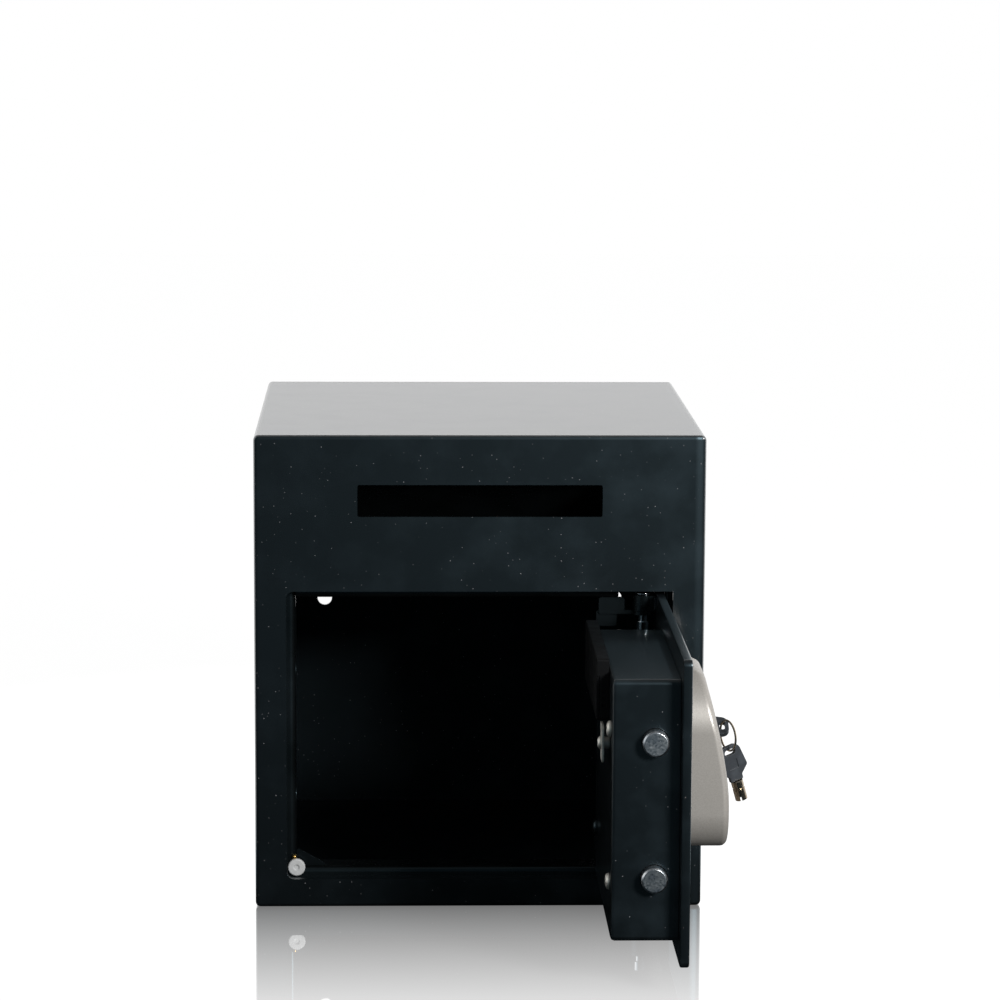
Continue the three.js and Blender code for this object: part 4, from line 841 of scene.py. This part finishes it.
@dataclass
class DoorLeaf:
    """The door: its plate, the stiffener behind it and the knuckles that are welded on."""

    knuckles: tuple[str, ...] = ("knuckle_top", "knuckle_bottom")
    bead_radius: float = 1.6 * MM
    bead_flat: float = 0.8
    bead_sunk: float = 0.4 * MM
    bead_facets: int = 10
    # The bead's ripples: how long each is, how many rings draw it, and how its radius swells.
    bead_step: float = 1.5 * MM
    bead_rings: int = 3
    bead_least: float = 0.82
    bead_swell: float = 0.18
    # Each end starts at this share of the radius and grows at this rate.
    bead_end: float = 0.3
    bead_growth: float = 6.0

    def dress(self) -> None:
        """Gives the door's nodes their finishes."""
        dress_node("door_plate", Looks.DOOR)
        dress_node("door_stiffener", Looks.DOOR, 0.4)
        for name in self.knuckles:
            dress_node(name, Looks.INSIDE, 0.4)

    def build(self) -> None:
        """Lays a weld bead along each side of both knuckles."""
        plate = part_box("door_plate")[0].x
        for name in self.knuckles:
            low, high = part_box(name)
            for side, y in (("near", low.y), ("far", high.y)):
                foot = Vector((plate - self.bead_sunk, y, low.z))
                self.bead(f"{name}_weld_{side}", foot, high.z - low.z)

    def bead(self, name: str, foot: Vector, length: float) -> None:
        """Lays one weld bead upwards.

        Args:
            name: the piece's name.
            foot: the bead's lower end.
            length: its length.
        """
        mesh = bmesh.new()
        ripples = max(int(length / self.bead_step), 2)
        count = ripples * self.bead_rings
        rings = []
        for i in range(count + 1):
            share = i / count
            swell = self.bead_least + self.bead_swell * abs(math.sin(share * ripples * math.pi))
            growth = self.bead_growth * min(share, 1 - share) + self.bead_end
            radius = self.bead_radius * swell * min(1.0, growth)
            ring = []
            for k in range(self.bead_facets):
                angle = k * math.tau / self.bead_facets
                aside = radius * math.cos(angle) * self.bead_flat
                ring.append(mesh.verts.new(foot + Vector((aside, radius * math.sin(angle), share * length))))
            rings.append(ring)
        for a, b in zip(rings, rings[1:]):
            for k in range(self.bead_facets):
                mesh.faces.new((a[k], a[(k + 1) % self.bead_facets], b[(k + 1) % self.bead_facets], b[k]))
        mesh.faces.new(rings[0])
        mesh.faces.new(rings[-1])
        new_piece(name, mesh, Looks.INSIDE, "door")


@dataclass
class BoltWork:
    """The cover behind the door, its screws, and the bolts, carriage and brackets inside it."""

    inner: tuple[str, ...] = (
        "bolt_guide", "hinge_end_bracket", "bolt_carriage", "guide_pin_top", "guide_pin_bottom",
    )
    bolts: tuple[str, ...] = ("bolt_bottom", "bolt_top")
    screw: PanScrew = field(default_factory=PanScrew)
    inset: float = 16 * MM
    rise: float = 57 * MM
    stand: float = 0.3 * MM
    turns: tuple[float, float] = (0.5, 1.1)

    def dress(self) -> None:
        """Gives the bolt work's nodes their finishes."""
        dress_node("bolt_cover", Looks.DOOR)
        for name in self.inner:
            dress_node(name, Looks.STEEL, 0.3)
        for name in self.bolts:
            dress_node(name, Looks.BOLT, 0.25)
        dress_node("solenoid", Looks.ZINC, 0.3)

    def build(self) -> None:
        """Drives the four screws that hold the cover: zinc at the latch, black like the inner enamel at the
        hinge.
        """
        low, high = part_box("bolt_cover")
        lower, upper = (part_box(name) for name in self.bolts)
        middle = (lower[0].z + upper[1].z) / 2
        rows = (("top", middle + self.rise, self.turns[0]), ("bottom", middle - self.rise, self.turns[1]))
        columns = (
            ("latch", low.y + self.inset, Looks.ZINC, "zinc_plate"),
            ("hinge", high.y - self.inset, Looks.INSIDE, "inner_black_paint"),
        )
        for column, y, look, slot in columns:
            for row, z, turn in rows:
                at = Vector((low.x - self.stand, y, z))
                self.screw.build(f"cover_screw_{column}_{row}", at, turn, "door", slot, look)


@dataclass
class BatteryTray:
    """The moulded battery holder, its cells, sliding cover, strap and the strap's screw."""

    screw: PanScrew = field(default_factory=lambda: PanScrew(
        head_radius=4.9 * MM, head_height=2.8 * MM,
        recess=2.9 * MM, recess_width=1.1 * MM, recess_depth=1.2 * MM,
    ))
    hold: float = 13 * MM
    stand: float = 0.1 * MM
    turn: float = 0.3
    cells: int = 4

    def dress(self) -> None:
        """Gives the tray's nodes their finishes."""
        dress_node("battery_holder", Looks.BLACK_ABS, 0.3)
        dress_node("battery_cover", Looks.BLACK_ABS, 0.2)
        for number in range(self.cells):
            dress_node(f"battery_{number + 1}", Looks.CELL, 0.2)
        dress_node("battery_strap", Looks.ZINC, 0.2)

    def build(self) -> None:
        """Drives the screw that holds the strap."""
        low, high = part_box("battery_strap")
        at = Vector((low.x - self.stand, (low.y + high.y) / 2, low.z + self.hold))
        self.screw.build("strap_screw", at, self.turn, "door", "zinc_plate")


@dataclass
class LockHousing:
    """The silver housing on the door's front with its keypad and lights."""

    legends: tuple[str, ...] = ("1", "2", "3", "*", "4", "5", "6", "0", "7", "8", "9", "#")
    legend_height: float = 4.2 * MM
    legend_lift: float = 0.05 * MM
    legend_depth: float = 0.03 * MM

    def dress(self) -> None:
        """Gives the housing's nodes their finishes."""
        dress_node("lock_housing", Looks.SILVER)
        dress_node("keypad_panel", Looks.BLACK_ABS)
        dress_node("light_guide", Looks.LENS)
        for number in range(len(self.legends)):
            dress_node(f"keypad_key_{number + 1}", Looks.CAP)

    def build(self) -> None:
        """Prints a plain number or mark on each key."""
        for number, legend in enumerate(self.legends, 1):
            low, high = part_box(f"keypad_key_{number}")
            text = bpy.data.curves.new(f"legend_{number}", "FONT")
            text.body = legend
            text.align_x = "CENTER"
            text.align_y = "CENTER"
            text.size = self.legend_height
            text.extrude = self.legend_depth
            piece = bpy.data.objects.new(f"legend_{number}", text)
            bpy.context.scene.collection.objects.link(piece)
            text.materials.append(Looks.INK.value.material())
            at = Vector((high.x + self.legend_lift, (low.y + high.y) / 2, (low.z + high.z) / 2))
            piece.matrix_world = towards(Vector((1, 0, 0)), at)
            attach(piece, f"press_key_{number}")
            log.info("legend_%d: new piece", number)


@dataclass
class TurnKnob:
    """The knob that draws the bolts, with its spindle and crank."""

    mark_width: float = 1.4 * MM
    mark_length: float = 9 * MM
    mark_depth: float = 0.06 * MM
    mark_below: float = 6 * MM
    mark_corners: int = 16

    def dress(self) -> None:
        """Gives the knob and its spindle their finishes."""
        dress_node("knob", Looks.SILVER, 0.3)
        dress_node("spindle_crank", Looks.STEEL, 0.3)

    def build(self) -> None:
        """Lays the mark on the knob's grip, a bar with round ends."""
        low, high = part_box("knob")
        mesh = bmesh.new()
        corners = []
        middle = Vector((high.x, (low.y + high.y) / 2, high.z - self.mark_below))
        for i in range(self.mark_corners):
            angle = i * math.tau / self.mark_corners
            shift = (self.mark_length - self.mark_width) / 2 * (1 if math.sin(angle) >= 0 else -1)
            y = math.cos(angle) * self.mark_width / 2
            z = math.sin(angle) * self.mark_width / 2 + shift
            corners.append(middle + Vector((0, y, z - self.mark_length / 4)))
        base = mesh.faces.new([mesh.verts.new(corner) for corner in corners])
        grown = bmesh.ops.extrude_face_region(mesh, geom=[base])["geom"]
        moved = [v for v in grown if isinstance(v, bmesh.types.BMVert)]
        bmesh.ops.translate(mesh, verts=moved, vec=(self.mark_depth, 0, 0))
        new_piece("knob_mark", mesh, Looks.MARK, "turn_knob")


@dataclass
class LockAndKeys:
    """The lock cylinder with its core and cam, the two tubular keys and their ring."""

    finishes: tuple[tuple[str, Looks, float], ...] = (
        ("lock_cylinder", Looks.CHROME, 0.25),
        ("lock_core", Looks.STEEL, 0.2),
        ("lock_cam", Looks.STEEL, 0.2),
        ("lock_key_bow", Looks.BOW, 0.25),
        ("spare_key_bow", Looks.BOW, 0.25),
        ("lock_key_barrel", Looks.NICKEL, 0.15),
        ("spare_key_barrel", Looks.NICKEL, 0.15),
        ("key_ring", Looks.NICKEL, 0.0),
    )

    def dress(self) -> None:
        """Gives the lock's and the keys' nodes their finishes."""
        for name, look, edge_mm in self.finishes:
            dress_node(name, look, edge_mm)


@dataclass
class Studio:
    """Camera, lamp, world and floor. None of it belongs to the safe."""

    eye: tuple[float, float, float] = (-0.0708, -2.9726, 0.7586)
    yaw: float = 1.771
    pitch: float = 8.732
    roll: float = 0.28
    lens: float = 129.517
    sensor: float = 36.0
    clip: tuple[float, float] = (0.05, 50.0)
    lamp_at: tuple[float, float, float] = (1.12, -1.84, 0.98)
    lamp_aim: tuple[float, float, float] = (0, -0.18, 0.25)
    lamp_size: tuple[float, float] = (0.5, 0.5)
    lamp_power: float = 41
    ambient: float = 0.4
    # What gloss sees: a dim room on the camera's side, a white wall behind, a dim ceiling.
    room_glow: float = 0.09
    room_colour: str = "#bfe6f8"
    wall_glow: float = 1.15
    wall_ends: tuple[float, float] = (-0.9, -0.35)
    ceiling: tuple[float, float] = (0.35, 0.8)
    ceiling_glow: float = 0.15
    # The table, whose mirror grows towards the safe's foot and fades away from the safe.
    table_half: float = 6.0
    table_glow: float = 1.05
    table_matt: float = 0.12
    table_colour: str = "#f4f4f4"
    table_bounce: str = "#8c8c8c"
    mirror_share: tuple[float, float] = (0.29, 0.81)
    mirror_reach: tuple[float, float] = (-0.431, -0.178)
    mirror_fade: tuple[float, float] = (0.45, 0.85)
    mirror_least: float = 0.2
    haze_mm: float = 300.0
    haze: tuple[float, float] = (0.015, 0.03)
    # The table as gloss sees it: shares of the room's glow in front, and white behind.
    near_share: float = 0.8
    near_ends: tuple[float, float] = (-1.1, -0.2)
    far_share: float = 0.3
    far_ends: tuple[float, float] = (-2.1, -1.1)
    rear_ends: tuple[float, float] = (-0.15, 0.1)

    def camera(self) -> None:
        """Stands the camera where the photograph was taken."""
        yaw, pitch, roll = (math.radians(a) for a in (self.yaw, self.pitch, self.roll))
        ahead = Vector((math.sin(yaw) * math.cos(pitch), math.cos(yaw) * math.cos(pitch), -math.sin(pitch)))
        right = Vector((math.cos(yaw), -math.sin(yaw), 0.0))
        up = right.cross(ahead)
        x = right * math.cos(roll) + up * math.sin(roll)
        y = up * math.cos(roll) - right * math.sin(roll)
        data = bpy.data.cameras.new("camera")
        data.lens = self.lens
        data.sensor_width = self.sensor
        data.clip_start, data.clip_end = self.clip
        camera = bpy.data.objects.new("camera", data)
        bpy.context.scene.collection.objects.link(camera)
        camera.matrix_world = Matrix.Translation(self.eye) @ Matrix((x, y, -ahead)).transposed().to_4x4()
        bpy.context.scene.camera = camera

    def lamp(self) -> None:
        """Hangs the softbox, to the right of the camera and above it."""
        data = bpy.data.lights.new("key_softbox", "AREA")
        data.shape = "RECTANGLE"
        data.size, data.size_y = self.lamp_size
        data.energy = self.lamp_power
        lamp = bpy.data.objects.new("key_softbox", data)
        bpy.context.scene.collection.objects.link(lamp)
        lamp.matrix_world = towards(Vector(self.lamp_at) - Vector(self.lamp_aim), Vector(self.lamp_at))

    def world(self) -> None:
        """A white cyclorama behind, and a dim room above and on the camera's side."""
        world = bpy.data.worlds.new("studio")
        bpy.context.scene.world = world
        world.use_nodes = True
        tree = world.node_tree
        tree.nodes.clear()
        path = add(tree, "LightPath").outputs
        way = add(tree, "SeparateXYZ", [add(tree, "TexCoord").outputs["Generated"]]).outputs
        soft_step = {"interpolation_type": "SMOOTHSTEP"}
        reach = (way["Y"], *self.wall_ends)
        depth = add(tree, "MapRange", [*reach, self.room_glow, self.wall_glow], **soft_step)
        wall = add(tree, "MapRange", [*reach, 0.0, 1.0], **soft_step)
        tones = {0: wall, 6: linear(self.room_colour), 7: WHITE}
        tint = add(tree, "Mix", tones, data_type="RGBA").outputs[2]
        roof = add(tree, "MapRange", [way["Z"], *self.ceiling, 1.0, self.ceiling_glow], **soft_step)
        glow = add(tree, "Math", [depth, roof], operation="MULTIPLY")
        sky = add(tree, "Background", [tint, glow])
        soft = add(tree, "Background", [WHITE, self.ambient])
        white = add(tree, "Background", [WHITE, 1.0])
        shiny = add(tree, "Math", [path["Is Glossy Ray"], path["Is Transmission Ray"]], operation="MAXIMUM")
        lit = add(tree, "MixShader", [shiny, soft, sky])
        add(tree, "OutputWorld", [add(tree, "MixShader", [path["Is Camera Ray"], lit, white])])

    def acrylic(self) -> bpy.types.Material:
        """White cast acrylic, polished: a white glow with a hazy mirror image over it.

        Returns:
            The table's material.
        """
        material = bpy.data.materials.new("white_acrylic")
        material.use_nodes = True
        tree = material.node_tree
        tree.nodes.clear()
        path = add(tree, "LightPath").outputs
        place = add(tree, "TexCoord").outputs["Object"]
        along = add(tree, "SeparateXYZ", [place]).outputs["Y"]
        away = add(tree, "VectorMath", [place], operation="LENGTH").outputs["Value"]
        foot = add(tree, "MapRange", [along, *self.mirror_reach, *self.mirror_share])
        fade = add(tree, "MapRange", [away, *self.mirror_fade, 1.0, self.mirror_least])
        share = add(tree, "Math", [foot, fade], operation="MULTIPLY")
        noise = add(tree, "TexNoise", {"Vector": place, "Scale": per_metre(self.haze_mm), "Detail": 2.0})
        haze = add(tree, "MapRange", [noise, *NOISE_ENDS, *self.haze])
        mirror = add(tree, "BsdfGlossy", {"Color": WHITE, "Roughness": haze})
        glow = add(tree, "Emission", {"Color": WHITE, "Strength": self.table_glow})
        matt = add(tree, "BsdfDiffuse", {"Color": linear(self.table_colour)})
        seen = add(tree, "MixShader", [share, add(tree, "MixShader", [self.table_matt, glow, matt]), mirror])
        near = add(tree, "MapRange", [along, *self.near_ends, self.room_glow * self.near_share, 0.0])
        far = add(tree, "MapRange", [along, *self.far_ends, self.room_glow * self.far_share, 0.0])
        ahead = add(tree, "Math", [near, far], operation="ADD")
        behind = add(tree, "MapRange", [along, *self.rear_ends, 0.0, 1.0])
        tones = {0: behind, 6: linear(self.room_colour), 7: WHITE}
        tint = add(tree, "Mix", tones, data_type="RGBA").outputs[2]
        strength = add(tree, "Math", [ahead, behind], operation="ADD")
        room = add(tree, "Emission", {"Color": tint, "Strength": strength})
        grey = add(tree, "BsdfDiffuse", {"Color": linear(self.table_bounce)})
        other = add(tree, "MixShader", [path["Is Glossy Ray"], grey, room])
        add(tree, "OutputMaterial", [add(tree, "MixShader", [path["Is Camera Ray"], other, seen])])
        return material

    def floor(self) -> None:
        """A white acrylic table. Its mirror image is strongest at the safe's foot."""
        mesh = bmesh.new()
        bmesh.ops.create_grid(mesh, x_segments=1, y_segments=1, size=self.table_half)
        data = bpy.data.meshes.new("table_top")
        mesh.to_mesh(data)
        mesh.free()
        table = bpy.data.objects.new("table_top", data)
        bpy.context.scene.collection.objects.link(table)
        data.materials.append(self.acrylic())

    def build(self) -> None:
        """Builds the whole studio."""
        bpy.context.scene.view_settings.view_transform = "Standard"
        self.camera()
        self.world()
        self.floor()
        self.lamp()


def main() -> None:
    """Builds the studio and dresses the safe, one sub-assembly after the other."""
    logging.basicConfig(level=logging.INFO, format="%(message)s")
    Studio().build()
    for assembly in (Carcass(), DoorLeaf(), BoltWork(), BatteryTray(), LockHousing(), TurnKnob()):
        assembly.dress()
        assembly.build()
    LockAndKeys().dress()


if __name__ == "__main__":
    main()
